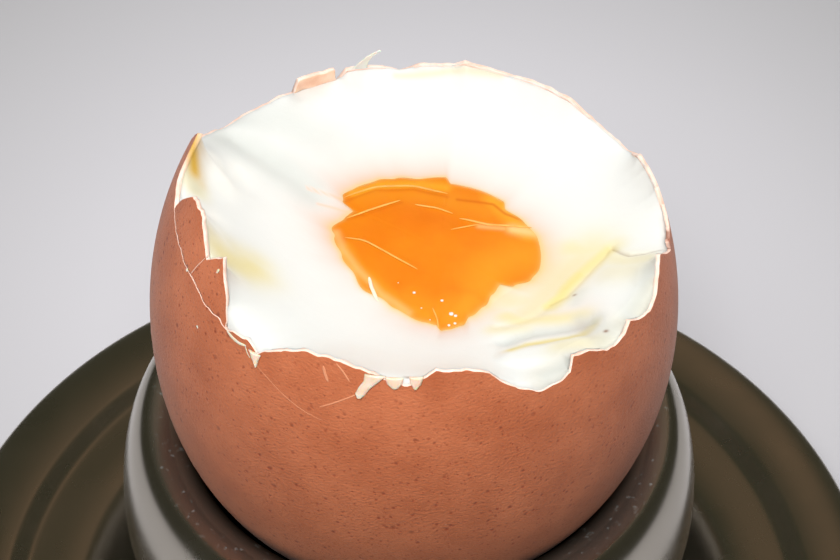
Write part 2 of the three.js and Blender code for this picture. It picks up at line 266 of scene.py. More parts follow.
def wear_and_lip_shade(material):
    """A dull ring with small pale nicks on the lip: less metal shine, a rougher surface.
    Further in, the steel is painted dark: a painted shade where the egg shadows the lip."""
    shader = material.node_tree.nodes["Principled BSDF"]
    place = own_place(material)
    radius, height = from_axis(material, place)
    from_inside = between(material, radius, WORN_RADIUS, WORN_RADIUS - WORN_FADE)
    on_lip = arithmetic(material, "GREATER_THAN", height, WORN_Z)
    worn = arithmetic(material, "MULTIPLY", from_inside, on_lip)
    scratches = between(material, noise(material, place, scale=1500.0, detail=3.0), 0.62, 0.72)
    nicks = arithmetic(material, "MULTIPLY", scratches, worn)
    metal = between(material, worn, 0.0, 1.0, to_low=1.0, to_high=0.96)
    connect(material, arithmetic(material, "MULTIPLY_ADD", nicks, -NICK_DULLING, metal), shader, "Metallic")
    polish = shader.inputs["Roughness"].links[0].from_socket
    rougher = arithmetic(material, "MULTIPLY_ADD", worn, WORN_ROUGHENING, polish)
    connect(material, rougher, shader, "Roughness")
    colour = colour_between(material, CUP_COLOUR, NICK_COLOUR, nicks)
    # Painted shade: the steel darkens towards the egg, standing in for its shadow on the lip.
    unshaded = between(material, radius, *LIP_SHADE_RING, interpolation_type="SMOOTHSTEP")
    connect(material, colour_between(material, LIP_SHADE_COLOUR, colour, unshaded), shader, "Base Color")


cup_steel = steel_finish("cup_steel", CUP_COLOUR, roughness=0.19, haze=0.3)
wear_and_lip_shade(cup_steel)
cup_shown = np.concatenate(
    [
        [[0.0, FOOT_Z], [FOOT_RADIUS - 0.3, FOOT_Z], [FOOT_RADIUS, FOOT_Z + 0.3]],
        bend(
            [FOOT_RADIUS, FOOT_Z + 1], [STEM_RADIUS, FOOT_Z + 1.6], [STEM_RADIUS, 4],
            [STEM_RADIUS, STEM_Z], 12,
        ),
        bend(
            [STEM_RADIUS + 0.3, STEM_Z + 0.8], [15.5, 8.2], [BALL_RADIUS, 12.5], [BALL_RADIUS, BALL_Z], 28
        ),
        bend(
            [BALL_RADIUS, BALL_Z], [BALL_RADIUS, 28.6], [23.8, CREST_LIP_Z], [CREST_RADIUS, CREST_LIP_Z], 40
        )[1:],
        bend([CREST_RADIUS, CREST_LIP_Z], [21.7, CREST_LIP_Z], [21.3, 31.35], [20.9, 31.2], 10)[1:],
        bend([20.9, 31.2], [20.0, 31.12], [19.5, 31.1], [19.3, 30.85], 16)[1:],
        bend([19.3, 30.85], [19.2, 30.7], [LIP_RADIUS, 30.5], [LIP_RADIUS, LIP_Z], 10)[1:],
    ]
)
spin("spun_egg_cup", sheet_outline(cup_shown, 1), cup_steel, "steel", "egg_cup")

# ---------------------------------------------------------------------------
# Shell: brown hen's eggshell, 0.4 mm thick, torn off all round above the egg's widest
# circle. Its outside has fine dark pores; the break shows pale and a little pink.
# ---------------------------------------------------------------------------
EGG_RADIUS = 22.0
BLUNT_LENGTH = 25.3
POINTED_LENGTH = 28.0
BLUNT_POWER = 2.06
LEAN = 0.0008  # how fast the blunt half drifts to the left, per millimetre squared
BLUNT_END_X = -LEAN * BLUNT_LENGTH**2
SHELL = 0.4
EDGE_DROP = 0.04  # how far its inside breaks off below its outside
EGG_AXIS_X = sum(corner[0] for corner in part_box("shell")) / 2 / METRES
EQUATOR_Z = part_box("shell")[0][2] / METRES + BLUNT_LENGTH
COLUMNS = 720

# Corners of the torn edge: azimuth, height, and how far the stretch up to the next corner
# hollows below the straight line between the two.
SHELL_EDGE = np.array(
    [
        [-84, 13.5, -0.1], [-46.5, 11.8, -0.1], [-40, 12.1, 0], [-37, 11.5, 0], [-35.5, 11.9, -0.5],
        [-19, 13.4, 0], [-10.5, 13, 0], [-2, 12.1, 0.2], [5, 13.2, -0.2], [17, 12.4, 1.25],
        [36, 10.3, 0], [37.5, 11.5, 0], [43, 10.9, 0.85], [56, 10.7, 1], [71, 10.3, 0], [76, 11.4, 0],
        [84, 9.3, 0.6], [97, 9.2, 0], [101, 10.6, 0.3], [113, 10.5, 0], [121, 8.1, 0], [133, 8.5, 0],
        [140, 9.8, 0.1], [165, 9.8, 0], [168, 10.3, 0], [171, 9.4, 0], [178, 9.3, 0], [184, 8.3, 0],
        [188, 9.1, 0], [197, 9.4, 0], [199, 8.1, 0], [231, 8.2, 0], [240, 10.2, 0], [250, 12.6, 0],
        [258, 16.3, 0], [260, 16.1, 0], [264, 15.2, 0], [268, 13.9, 0], [276, 13.5, 0],
    ]
)
CHIP_EDGE = np.array(
    [
        [-84, 13.5, 0], [-82.5, 14.6, -0.3], [-76.5, 16.5, 0], [-69, 16.6, -0.1], [-60.1, 14.8, 0],
        [-55, 16.3, 0], [-53, 15.3, -0.3], [-46.5, 11.9, 0],
    ]
)


def egg_radius(z, inset):
    """Radius at height z: half an ellipse above the widest circle, and below it a shorter
    half with a power a little over 2, which makes it fuller."""
    high = 1 - (z / (POINTED_LENGTH - inset)) ** 2
    low = (1 - np.minimum(np.abs(z) / (BLUNT_LENGTH - inset), 1) ** BLUNT_POWER) ** (2 / BLUNT_POWER)
    return (EGG_RADIUS - inset) * np.sqrt(np.clip(np.where(z < 0, low, high), 0, 1))


def on_egg(azimuth, z, inset):
    """Points of the egg's surface, moved in by inset, at azimuths in degrees and heights z.
    Below the widest circle they drift to the left with the square of the depth."""
    azimuth, z, inset = np.broadcast_arrays(azimuth, z, inset)
    angle = np.radians(azimuth)
    radius = egg_radius(z, inset)
    drift = LEAN * np.minimum(z, 0) ** 2
    return np.stack([radius * np.sin(angle) - drift, -radius * np.cos(angle), z], -1)


def in_frame(points):
    """From the egg's own measure to the frame's: moved to the egg's axis and widest circle."""
    return np.asarray(points) + np.array([EGG_AXIS_X, 0.0, EQUATOR_Z])


def stretch_at(corners, azimuth):
    """For azimuths on an outline: the corner before, the corner after, and the share of the
    way from the one to the other."""
    at = np.clip(np.searchsorted(corners[:, 0], azimuth, side="right") - 1, 0, len(corners) - 2)
    start, stop = corners[at], corners[at + 1]
    return start, stop, (azimuth - start[..., 0]) / (stop[..., 0] - start[..., 0])


def edge_height(corners, azimuth):
    """Straight from corner to corner, less a parabola that is 0 at both and full half way."""
    start, stop, t = stretch_at(corners, azimuth)
    return start[..., 1] + (stop[..., 1] - start[..., 1]) * t - start[..., 2] * 4 * t * (1 - t)


def ragged(azimuth, spacing, depth, seed):
    """Straight stretches between random heights, about spacing degrees apart, up to depth."""
    count = round(360 / spacing)
    rng = np.random.default_rng(seed)
    corner = (np.arange(count) + rng.uniform(-0.3, 0.3, count)) * 360 / count
    height = rng.uniform(-depth, depth, count)
    return np.interp(azimuth % 360, corner, height, period=360)


def from_first_corner(azimuth):
    """The same azimuth, counted on from the first corner of the torn edge."""
    return (azimuth - SHELL_EDGE[0, 0]) % 360 + SHELL_EDGE[0, 0]


def teeth(azimuth):
    """Small teeth of a torn edge: coarse ones and fine ones together."""
    return ragged(azimuth, 3.1, 0.13, 3) + ragged(azimuth, 1.3, 0.09, 4)


def shell_top(azimuth):
    """Height of the torn edge of the shell itself, with its small teeth."""
    return edge_height(SHELL_EDGE, from_first_corner(azimuth)) + teeth(azimuth)


def opening_top(azimuth):
    """Height of the opening's edge: the two cracked chips' where they stand, else the shell's."""
    around = from_first_corner(azimuth)
    chips = edge_height(CHIP_EDGE, np.minimum(around, CHIP_EDGE[-1, 0])) + teeth(azimuth)
    return np.where(around <= CHIP_EDGE[-1, 0], chips, shell_top(azimuth))


def egg_rings(top, inset, low_count, high_count):
    """Heights of rings from the blunt end up to an edge: even angles up to the widest
    circle, then 1 - (1 - share)^1.6 of the way up, so closer and closer towards the edge.
    One row for each ring."""
    angle = np.linspace(0.0, math.pi / 2, low_count + 1)[1:, None]
    low = -(BLUNT_LENGTH - inset) * np.cos(angle) * np.ones_like(top)
    share = 1 - (1 - np.linspace(0.0, 1.0, high_count + 1)[1:, None]) ** 1.6
    return np.concatenate([low, top * share])


# Pores: cells in a metre, share of cells that have one, its least and extra radius in
# cells, its colour and how strongly it shows.
PORES = [
    (2600.0, 1.0, 0.17, 0.13, (142, 62, 34), 0.7),
    (1700.0, 1.0, 0.14, 0.10, (134, 50, 24), 0.85),
    (1150.0, 0.9, 0.14, 0.10, (122, 40, 16), 0.9),
    (640.0, 0.5, 0.11, 0.07, (114, 38, 16), 0.85),
    (330.0, 0.3, 0.06, 0.05, (116, 48, 26), 0.65),
]
PORE_CORE = 0.35  # share of its radius within which a pore shows in full
PORE_DEPTH = 0.3
# In metres: the heights between which the shell is painted lighter, a painted light from above, is painted
# dark beside the cup's lip, a painted shadow, and shows its pores more; and the places across between which
# they show in full.
TOP_LIGHT_Z = (0.036, 0.06)
LIP_SHADOW_Z = (0.0345, 0.0308)
PORED_Z = (0.057, 0.04)
PORED_X = (-0.011, -0.017)

# Yolk dried on the broken edge and the white beside it: corners in plan, half width, strength.
AMBER = [
    ([(-18.3, 4.2), (-17.95, 3.2)], 0.75, 1.0), ([(-17.9, 3.2), (-17.75, 1.7)], 0.55, 1.0),
    ([(-17.4, 2.4), (-17.2, 1.2)], 0.5, 0.3),
]
AMBER_SHADE = srgb(196, 158, 66)
# Bits of brown shell left on the break: the same measures.
FLAKES = [([(20.5, -1.5), (20.5, -0.2)], 0.3, 1.0)]
FLAKE_SHADE = srgb(128, 70, 46)


def speckled_brown():
    """Brown eggshell: warm brown with soft mottling, painted lighter and redder towards the top as a
    painted light from above, with dark pores of five sizes, a fine grain, and a painted shadow beside the
    cup's lip."""
    material, shader = start_material(
        "brown_eggshell", Roughness=0.47, Subsurface_Weight=0.06, Subsurface_Scale=0.001,
        Subsurface_Radius=(1.0, 0.5, 0.3), Sheen_Weight=0.06, Sheen_Roughness=0.5,
        Sheen_Tint=(1.0, 0.86, 0.8, 1.0),
    )
    place = own_place(material)
    axes = add_node(material, "ShaderNodeSeparateXYZ", {0: place}).outputs
    mottle = between(material, noise(material, place, scale=210.0, detail=6.0, Roughness=0.6), 0.3, 0.72)
    low = colour_between(material, srgb(157, 85, 51), srgb(180, 105, 69), mottle)
    high = colour_between(material, srgb(176, 96, 61), srgb(200, 118, 81), mottle)
    # Painted light: lighter colours higher up stand in for the light from above.
    colour = colour_between(material, low, high, between(material, axes[2], *TOP_LIGHT_Z))
    low_down = between(material, axes[2], *PORED_Z, to_low=0.35, to_high=1.0)
    pored = between(material, axes[0], *PORED_X, to_low=low_down, to_high=0.95)
    squeezed = add_node(
        material, "ShaderNodeVectorMath", {0: place, 1: (1.0, 1.0, 1.5)}, operation="MULTIPLY"
    )
    grain = noise(material, squeezed.outputs[0], scale=3400.0, detail=3.0)
    height = arithmetic(material, "MULTIPLY_ADD", grain, 1.25, 0.5)
    for scale, share, least, extra, shade, strength in PORES:
        cells = add_node(material, "ShaderNodeTexVoronoi", {"Vector": place, "Scale": scale}).outputs
        chance = add_node(material, "ShaderNodeSeparateColor", {0: cells["Color"]}).outputs
        keep = arithmetic(material, "LESS_THAN", chance[0], share)
        reach = arithmetic(material, "MULTIPLY_ADD", chance[1], extra, least)
        core = arithmetic(material, "MULTIPLY", reach, PORE_CORE)
        inside = between(material, cells["Distance"], reach, core)
        pore = arithmetic(material, "MULTIPLY", inside, keep)
        shown = arithmetic(material, "MULTIPLY", pore, arithmetic(material, "MULTIPLY", pored, strength))
        colour = colour_between(material, colour, srgb(*shade), shown)
        height = arithmetic(material, "MULTIPLY_ADD", pore, -PORE_DEPTH, height)
    # Painted shadow: the shell darkens beside the cup's lip.
    lip_shadow = between(material, axes[2], *LIP_SHADOW_Z, to_high=0.8, interpolation_type="SMOOTHSTEP")
    colour = colour_between(material, colour, srgb(60, 30, 14), lip_shadow)
    connect(material, colour, shader, "Base Color")
    add_bump(material, shader, height, strength=0.7, distance=0.0001)
    return material


def line_distance(x, y, line):
    """Distance in plan from each point to the nearest place on a line of corners."""
    nearest = np.full(np.shape(x), np.inf)
    if len(line) == 1:
        return np.hypot(x - line[0][0], y - line[0][1])
    for (ax, ay), (bx, by) in zip(line[:-1], line[1:]):
        dx, dy = bx - ax, by - ay
        t = np.clip(((x - ax) * dx + (y - ay) * dy) / (dx * dx + dy * dy), 0, 1)
        nearest = np.minimum(nearest, np.hypot(x - ax - t * dx, y - ay - t * dy))
    return nearest


def smear(x, y, lines):
    """How strongly a mark shows: the greatest of its lines' strengths, each times
    exp(-(distance / half width)^2)."""
    shown = np.zeros(np.shape(x))
    for corners, half_width, *strength in lines:
        reach = np.exp(-((line_distance(x, y, corners) / half_width) ** 2))
        shown = np.maximum(shown, reach * (strength[0] if strength else 1.0))
    return shown


def stains(points):
    """Where yolk and bits of brown shell stick to the break, well above the widest circle."""
    x, y, z = np.asarray(points).T
    return {mark: smear(x, y, lines) * (z > 5) for mark, lines in (("amber", AMBER), ("flake", FLAKES))}


def marked(material, colour, shades):
    """Lays each mark's shade over a colour, as strongly as the mesh's attribute says."""
    for mark, shade in shades.items():
        shown = add_node(material, "ShaderNodeAttribute", attribute_name=mark)
        colour = colour_between(material, colour, shade, shown.outputs["Fac"])
    return colour


def chalky(name, dull, bright):
    """Broken shell: chalky and pale, with a fine grain between two colours, and stained
    where yolk has run over it."""
    material, shader = start_material(
        name, Roughness=0.55, Subsurface_Weight=0.3, Subsurface_Scale=0.0006,
        Subsurface_Radius=(1.0, 0.8, 0.7),
    )
    grain = noise(material, own_place(material), scale=900.0, detail=4.0)
    colour = colour_between(material, dull, bright, between(material, grain, 0.3, 0.65))
    colour = marked(material, colour, {"amber": AMBER_SHADE, "flake": FLAKE_SHADE})
    connect(material, colour, shader, "Base Color")
    add_bump(material, shader, grain, strength=0.5, distance=0.00008)
    return material


brown = speckled_brown()
pale = chalky("broken_shell_edge", srgb(226, 186, 168), srgb(244, 216, 203))
azimuth = np.arange(COLUMNS) * 360 / COLUMNS
torn = shell_top(azimuth)
outer_z = egg_rings(torn, 0.0, low_count=26, high_count=34)
inner_edge = torn - EDGE_DROP + ragged(azimuth, 2.2, 0.05, 5)
inner_z = egg_rings(inner_edge, SHELL, low_count=14, high_count=16)[::-1]
shell_rings = np.concatenate([on_egg(azimuth, outer_z, 0.0), on_egg(azimuth, inner_z, SHELL)])
blunt_ends = np.array([[BLUNT_END_X, 0, -BLUNT_LENGTH], [BLUNT_END_X, 0, SHELL - BLUNT_LENGTH]])
shell_points, shell_faces = close_rings(blunt_ends, shell_rings)
brown_faces = (len(outer_z) - 1) * COLUMNS
# Brown outside with its fan at the blunt end; pale on the break and inside.
shell_side = np.ones(len(shell_faces), int)
shell_side[:brown_faces] = 0
shell_side[-2 * COLUMNS : -COLUMNS] = 0
add_piece(
    "torn_shell", in_frame(shell_points), shell_faces, [brown, pale], "shell", ("shell",), shell_side,
    stains(shell_points),
)

# ---------------------------------------------------------------------------
# Shell chips: two pieces on the left that cracked away along a long line but still hang on
# the skin, pushed in a little, so that the break below them shows as a pale line.
# ---------------------------------------------------------------------------
CHIPS_SUNK = (0.03, 0.05)
CHIP = 0.3
CRACK = 0.02
CHIP_SIDES = (-83.6, -47.2)  # azimuths of the two chips' far borders
CHIP_SPLIT = -62.0
HALF_SPLIT = 0.07


def plate_faces(columns, rows):
    """Faces of a closed plate: an outer grid, an inner grid turned round, and the border.
    Points run row by row, all of the outer face first. The border's faces come last."""
    c, r = np.meshgrid(np.arange(columns - 1), np.arange(rows - 1))
    corner = (r * columns + c).ravel()
    outer = np.stack([corner, corner + 1, corner + columns + 1, corner + columns], -1)
    side = columns * rows
    inner = outer[:, ::-1] + side
    bottom = np.arange(columns - 1)
    right = np.arange(rows - 1) * columns + columns - 1
    top = rows * columns - 1 - np.arange(columns - 1)
    left = (rows - 1 - np.arange(rows - 1)) * columns
    border = np.concatenate([bottom, right, top, left])
    after = np.roll(border, -1)
    rim = np.stack([border, border + side, after + side, after], -1)
    return np.concatenate([outer, inner, rim]).tolist(), len(outer)


def shell_plate(name, node, start, stop, bottom, top, sunk, thickness, columns, rows, inside=None):
    """A piece of shell between two azimuths and two heights: brown on its outer face, pale
    on its border, and pale or another material on its inner face."""
    u, v = np.meshgrid(np.linspace(0.0, 1.0, columns), np.linspace(0.0, 1.0, rows))
    at = start(v) + (stop(v) - start(v)) * u
    height = bottom(at) + (top(at) - bottom(at)) * v
    faces, outer_count = plate_faces(columns, rows)
    points = np.concatenate([on_egg(at, height, sunk + extra).reshape(-1, 3) for extra in (0.0, thickness)])
    sides = np.ones(len(faces), int)
    sides[:outer_count] = 0
    sides[outer_count : 2 * outer_count] = 2
    materials = [brown, pale, inside or pale]
    return add_piece(name, in_frame(points), faces, materials, "shell", (node,), sides, stains(points))


def upright(azimuth):
    """A border that stands straight up at one azimuth."""
    return lambda v: azimuth + 0 * v


def over_edge(at):
    """The lower border of a piece that broke off the torn edge."""
    return shell_top(at) + CRACK


def chip_foot(at):
    """The chips' lower border, with a fine grain of its own."""
    return over_edge(at) + ragged(at, 1.7, 0.025, 11)


def chip_top(at):
    """The chips' upper border: the opening's edge."""
    return np.maximum(opening_top(at), chip_foot(at) + 0.25)


def chip_split(v):
    """The leaning crack between the two chips."""
    return CHIP_SPLIT + 3.0 * (v - 0.5)


shell_plate(
    "upper_shell_chip", "shell_chip_1", upright(CHIP_SIDES[0]), lambda v: chip_split(v) - HALF_SPLIT,
    chip_foot, chip_top, CHIPS_SUNK[0], CHIP, columns=90, rows=24,
)
shell_plate(
    "lower_shell_chip", "shell_chip_2", lambda v: chip_split(v) + HALF_SPLIT, upright(CHIP_SIDES[1]),
    chip_foot, chip_top, CHIPS_SUNK[1], CHIP, columns=70, rows=24,
)

# ---------------------------------------------------------------------------
# Loose shell: a small piece turned up on the far edge with its pink inside to the front,
# and a thin sliver split off the edge on the right.
# ---------------------------------------------------------------------------
FRAGMENT_SIDES = (199.5, 210.5)
FRAGMENT_TOP = 9.8
SLIVER_SIDES = (85.0, 97.0)
SLIVER_HEIGHT = 0.75
pink_inside = chalky("pink_shell_inside", srgb(240, 190, 160), srgb(252, 214, 190))
shell_plate(
    "far_shell_fragment", "shell_fragment_far",
    lambda v: FRAGMENT_SIDES[0] + 0.6 * v, lambda v: FRAGMENT_SIDES[1] - 0.8 * v,
    over_edge, lambda at: FRAGMENT_TOP + ragged(at, 1.5, 0.12, 21), 0.0, SHELL, columns=40, rows=14,
    inside=pink_inside,
)
shell_plate(
    "right_shell_sliver", "shell_sliver_right", upright(SLIVER_SIDES[0]), upright(SLIVER_SIDES[1]),
    over_edge, lambda at: shell_top(at) + SLIVER_HEIGHT + ragged(at, 1.1, 0.1, 22), 0.0, CHIP,
    columns=60, rows=8,
)

# ---------------------------------------------------------------------------
# Yolk: soft, wet and orange, bared by the spoon in a pool with an uneven outline. Below the pool it is
# still a ball inside the white. Small white domes stand in its wet surface as painted glints of light.
# ---------------------------------------------------------------------------
YOLK_RADIUS = 14.5
YOLK_CENTRE = np.array([1.2, 0.6, -6.0])
YOLK_LEVEL = 5.5
YOLK_DOME = 0.35
YOLK_ROLL = 0.1
YOLK_WAVES = 0.03
PALE_RIM = (0.6, 0.18)  # how strongly the pool's rim shows pale, and how far in
POOL_CENTRE = np.array([2.1, 1.3])
# Outline of the pool: azimuth and distance from its centre.
POOL_EDGE = np.array(
    [
        [-170, 8.9], [-157, 9.55], [-148, 10.05], [-136, 10.4], [-130, 10.6], [-126, 10.1], [-123, 8.7],
        [-116, 8.85], [-107, 9.4], [-101, 8.9], [-86, 8.1], [-69, 7.5], [-56, 7.7], [-40, 7.2], [-29, 7.5],
        [-8, 8.2], [-2, 8.4], [0.5, 9.0], [4, 8.9], [12, 8.6], [18, 7.8], [30, 7.2], [41, 6.5], [52, 6.2],
        [57, 7.2], [67, 8.1], [77, 8.4], [101, 8.3], [117, 7.9], [132, 7.5], [139, 8.1], [165, 8.15],
        [173, 8.2], [177, 9.0],
    ]
)
YOLK_COLUMNS = 480
YOLK_ROWS = 110
# Where the yolk lies thin and looks lighter: corners in plan, half width, and how strongly
# where that is less than fully.
THIN_YOLK = [
    ([(-5.8, 1.5), (-4.6, -1), (-3, -3), (-1, -4.9), (1, -6)], 0.9, 0.6),
    ([(-5, 8), (-3, 9), (0.5, 9.2), (2.5, 8.8)], 0.7),
    ([(9.4, 3.2), (8, 5.3), (6.5, 7.3)], 1.0),
    ([(8.5, 0.6), (6.5, -0.8), (5.6, -3)], 2.2, 0.6),
    ([(3, -6.4), (4.6, -4.4)], 1.2, 0.7),
    ([(-5.6, 3.4), (-4.8, 0.6), (-3.2, -2.4), (-0.6, -4.9)], 1.6, 0.2),
    ([(-0.5, -4.6), (1.5, -5.8), (3.6, -5)], 1.7, 0.5),
    ([(-4.5, 7.6), (-1, 7.9), (2.5, 7.4), (6, 6)], 1.4, 0.35),
]
# Cloudy skin that lies on it, and darker lines beside the skin's folds.
CLOUDY_YOLK = [
    ([(5.4, 4), (7.4, 3.8)], 0.3, 0.5), ([(8.2, 3.8), (10.4, 3.5)], 0.6, 0.9),
    ([(-6.5, 3.4), (-5.9, 1.4), (-4.6, -1), (-2.8, -3.6), (-0.4, -5.8)], 0.35, 0.45),
]
DARK_YOLK = [
    ([(3.6, 7.3), (6.6, 6.8), (7.6, 5.7), (10, 4.5)], 0.16, 0.7),
    ([(-5.9, 7.1), (-3.3, 8.4), (-0.1, 8.5), (2.7, 7.6)], 0.2, 0.5),
    ([(-5.6, 4.9), (-3.5, 5.7), (-1.1, 6.8)], 0.14, 0.5),
]
# Small white domes on the yolk's surface, painted white as glints of light: middle in plan and radius.
GLINT_DOMES = [
    (0.0, -3.7, 0.13), (2.26, -4.6, 0.13), (3.0, -6.0, 0.2), (3.35, -6.2, 0.14), (2.82, -7.2, 0.12),
    (3.3, -7.0, 0.12), (0.6, -5.4, 0.07), (-1.3, -2.6, 0.06), (1.3, -6.6, 0.06),
]


def pool_radius(azimuth):
    """Distance from the pool's centre to its outline: eased from one corner to the next by
    half a cosine wave."""
    corners = np.concatenate([POOL_EDGE[-1:] - [360, 0], POOL_EDGE, POOL_EDGE[:1] + [360, 0]])
    around = (np.asarray(azimuth) - corners[0, 0]) % 360 + corners[0, 0]
    start, stop, t = stretch_at(corners, around)
    return start[..., 1] + (stop[..., 1] - start[..., 1]) * (1 - np.cos(np.clip(t, 0, 1) * math.pi)) / 2


def pool_edge(azimuth, inset=0.0, sunk=0.0):
    """Outline of the bared yolk at its level, moved in by inset and sunk below it."""
    angle, radius = np.radians(azimuth), pool_radius(azimuth) - inset
    x, y = POOL_CENTRE[0] + radius * np.sin(angle), POOL_CENTRE[1] - radius * np.cos(angle)
    return np.stack([x, y, np.full_like(x, YOLK_LEVEL - sunk)], -1)


def yolk_ball(azimuth, share, edge):
    """Rings from an edge (share 0) over into a ball and down to its underside (share 1)."""
    top_angle = math.acos((YOLK_LEVEL - YOLK_CENTRE[2]) / YOLK_RADIUS)
    polar = top_angle + (math.pi - top_angle) * share
    angle = np.radians(azimuth)
    radius = YOLK_RADIUS * np.sin(polar)
    height = YOLK_CENTRE[2] + YOLK_RADIUS * np.cos(polar)
    ball = np.stack(
        np.broadcast_arrays(
            YOLK_CENTRE[0] + radius * np.sin(angle), YOLK_CENTRE[1] - radius * np.cos(angle), height
        ),
        -1,
    )
    blend = np.minimum(1, 3 * share)[..., None]
    return edge * (1 - blend) + ball * blend


def around_pool(x, y):
    """Azimuth in degrees round the pool's centre, and distance from it in plan."""
    away_x, away_y = x - POOL_CENTRE[0], y - POOL_CENTRE[1]
    return np.degrees(np.arctan2(away_x, -away_y)), np.hypot(away_x, away_y)


def yolk_top(x, y):
    """Height of the bared yolk: its level, a dome that falls with the square of the share of
    the way out, an edge rolled over as (1 - share^24)^0.5, and shallow waves."""
    sight, distance = around_pool(x, y)
    share = np.clip(distance / pool_radius(sight), 0, 1)
    height = YOLK_LEVEL + YOLK_DOME * (1 - share**2) + YOLK_ROLL * np.sqrt(1 - share**24)
    return height + YOLK_WAVES * np.sin(x * 1.7 + y * 0.6) * np.sin(y * 1.3 - x * 0.4)


def wet_yolk():
    """Soft yolk: deep orange yellow that light sinks into, under a wet gloss."""
    material, shader = start_material(
        "soft_yolk", Roughness=0.14, Subsurface_Weight=0.35, Subsurface_Scale=0.0012,
        Subsurface_Radius=(1.0, 0.45, 0.1), Coat_Weight=0.6, Coat_Roughness=0.04, IOR=1.38,
    )
    place = own_place(material)
    cloud = between(material, noise(material, place, scale=170.0, detail=4.0), 0.3, 0.7)
    colour = colour_between(material, srgb(200, 102, 13), srgb(204, 115, 18), cloud)
    shades = {
        "thin": srgb(208, 141, 34), "cloudy": srgb(214, 176, 118), "dark": srgb(186, 86, 12),
        "rim": srgb(214, 170, 100),
    }
    connect(material, marked(material, colour, shades), shader, "Base Color")
    wrinkles = noise(material, place, scale=700.0, detail=4.0)
    add_bump(material, shader, wrinkles, strength=0.15, distance=0.0002)
    return material


yolk_azimuth = np.arange(YOLK_COLUMNS) * 360 / YOLK_COLUMNS
under_share = np.linspace(0.0, 1.0, 17)[:-1, None]
under = yolk_ball(yolk_azimuth, under_share, pool_edge(yolk_azimuth))[::-1]
# Rings of the bared top, closer together at the pool's edge.
share = 1 - (1 - np.linspace(1.0, 0.0, YOLK_ROWS + 1)[1:-1, None, None]) ** 1.25
middle = np.array([*POOL_CENTRE, YOLK_LEVEL])
surface = middle + (under[-1] - middle) * share
surface[..., 2] = yolk_top(surface[..., 0], surface[..., 1])
yolk_rings = np.concatenate([under, surface])
top_middle = [*POOL_CENTRE, float(yolk_top(*POOL_CENTRE))]
yolk_ends = np.array([[*YOLK_CENTRE[:2], YOLK_CENTRE[2] - YOLK_RADIUS], top_middle])
yolk_points, yolk_faces = close_rings(yolk_ends, yolk_rings)
yolk_marks = {
    mark: smear(yolk_points[:, 0], yolk_points[:, 1], lines)
    for mark, lines in (("thin", THIN_YOLK), ("cloudy", CLOUDY_YOLK), ("dark", DARK_YOLK))
}
sight, distance = around_pool(*yolk_points[:, :2].T)
short_of_edge = np.clip(pool_radius(sight) - distance, 0, None)
yolk_marks["rim"] = PALE_RIM[0] * np.exp(-short_of_edge / PALE_RIM[1])
add_piece(
    "soft_yolk", in_frame(yolk_points), yolk_faces, [wet_yolk()], "yolk", ("yolk",), marks=yolk_marks
)

# ---------------------------------------------------------------------------
# White: set egg white that fills the shell round the yolk, scooped out towards the middle
# by the spoon, which left a crack, a crease, a groove and a few lobes on the right.
# ---------------------------------------------------------------------------
FINE_SIDE = (15.0, 110.0)  # azimuths between which the folds need closer columns
FINE_COLUMNS = 270
PLAIN_COLUMNS = 350
SCOOP_ROWS = 128
SCOOP_RIM = (11.0, 1.6, 1.5)  # level of the tilted ring it is cut to, and its rise to front and left
SCOOP_ROUNDING = 0.35
POOL_STEEPNESS = 14
CALM_SPAN = 45  # degrees over which the rim's and the pool's outlines are averaged
# The edge's ups and downs as averages over two spans in degrees, and how fast each of them
# dies out inwards; the teeth die out fastest.
SLOW_SPAN, SLOW_REACH = 40, 3
QUICK_SPAN, QUICK_REACH = 12, 6
TOOTH_REACH = 24
# How far in from the shell's outside the white starts on the break, and the stretches where
# it starts further in: azimuth, half width in degrees and how much further.
EDGE_COVER = 0.07
BARE_BREAK = [(-92, 10, 0.26), (72, 12, 0.14), (91, 8, 0.15)]
EDGE_ROLL = 0.2  # how far it rolls down there, and how fast
ROLL_REACH = 60
RIM_RISE = 0.1  # how far it stands above the opening's edge
SHELL_OVERLAP = 0.04  # how far it reaches into the shell
YOLK_OVERLAP = 0.45
YOLK_TUCK = 0.1  # how far it goes down where it dips under the yolk's edge
# Folds left by the spoon: corners in plan, half width, depth and power; a depth below zero
# is a lobe, and a power above 2 gives it a flat top and steep sides.
CREASE = [
    (16.2, 0), (15.5, -1.2), (14.7, -2.1), (13.5, -3.8), (12.3, -5.4), (11, -6.1), (9.9, -7.3), (8.5, -8.1)
]
# Below the lower lobe, where its edge curves down: a patch of painted shade, grey warmed with yellow and
# peach.
LOBE_EDGE_SHADE = [(10.2, -16.9), (12.0, -15.6)]
FOLDS = [
    ([(20.2, -2.3), (18.6, -2.2), (17.4, -1.8), (16.8, -1.1), (16.2, -0.2)], 0.2, 0.16, 2),
    (CREASE + [(6.8, -8.2)], 0.5, 0.11, 2),
    ([(18.4, -4.9), (16.9, -5.0), (15.7, -6.3), (16.4, -7.8)], 2.3, -0.28, 4),
    ([(7.3, -10.8), (8.4, -10.1), (9.6, -9.8), (10.8, -9.9), (12.3, -9.9), (13.8, -9.5)], 0.9, 0.45, 2),
    ([(8.2, -14.0), (10.5, -13.9), (12.6, -13.5)], 1.6, -0.45, 4),
    ([(-15.7, 11), (-14.1, 10), (-12.2, 9.2), (-10.3, 8.5), (-8.6, 7.4)], 1.3, 0.35, 2),
    ([(-16.9, 5.4), (-16.0, 3.4)], 1.5, -0.4, 2),
]
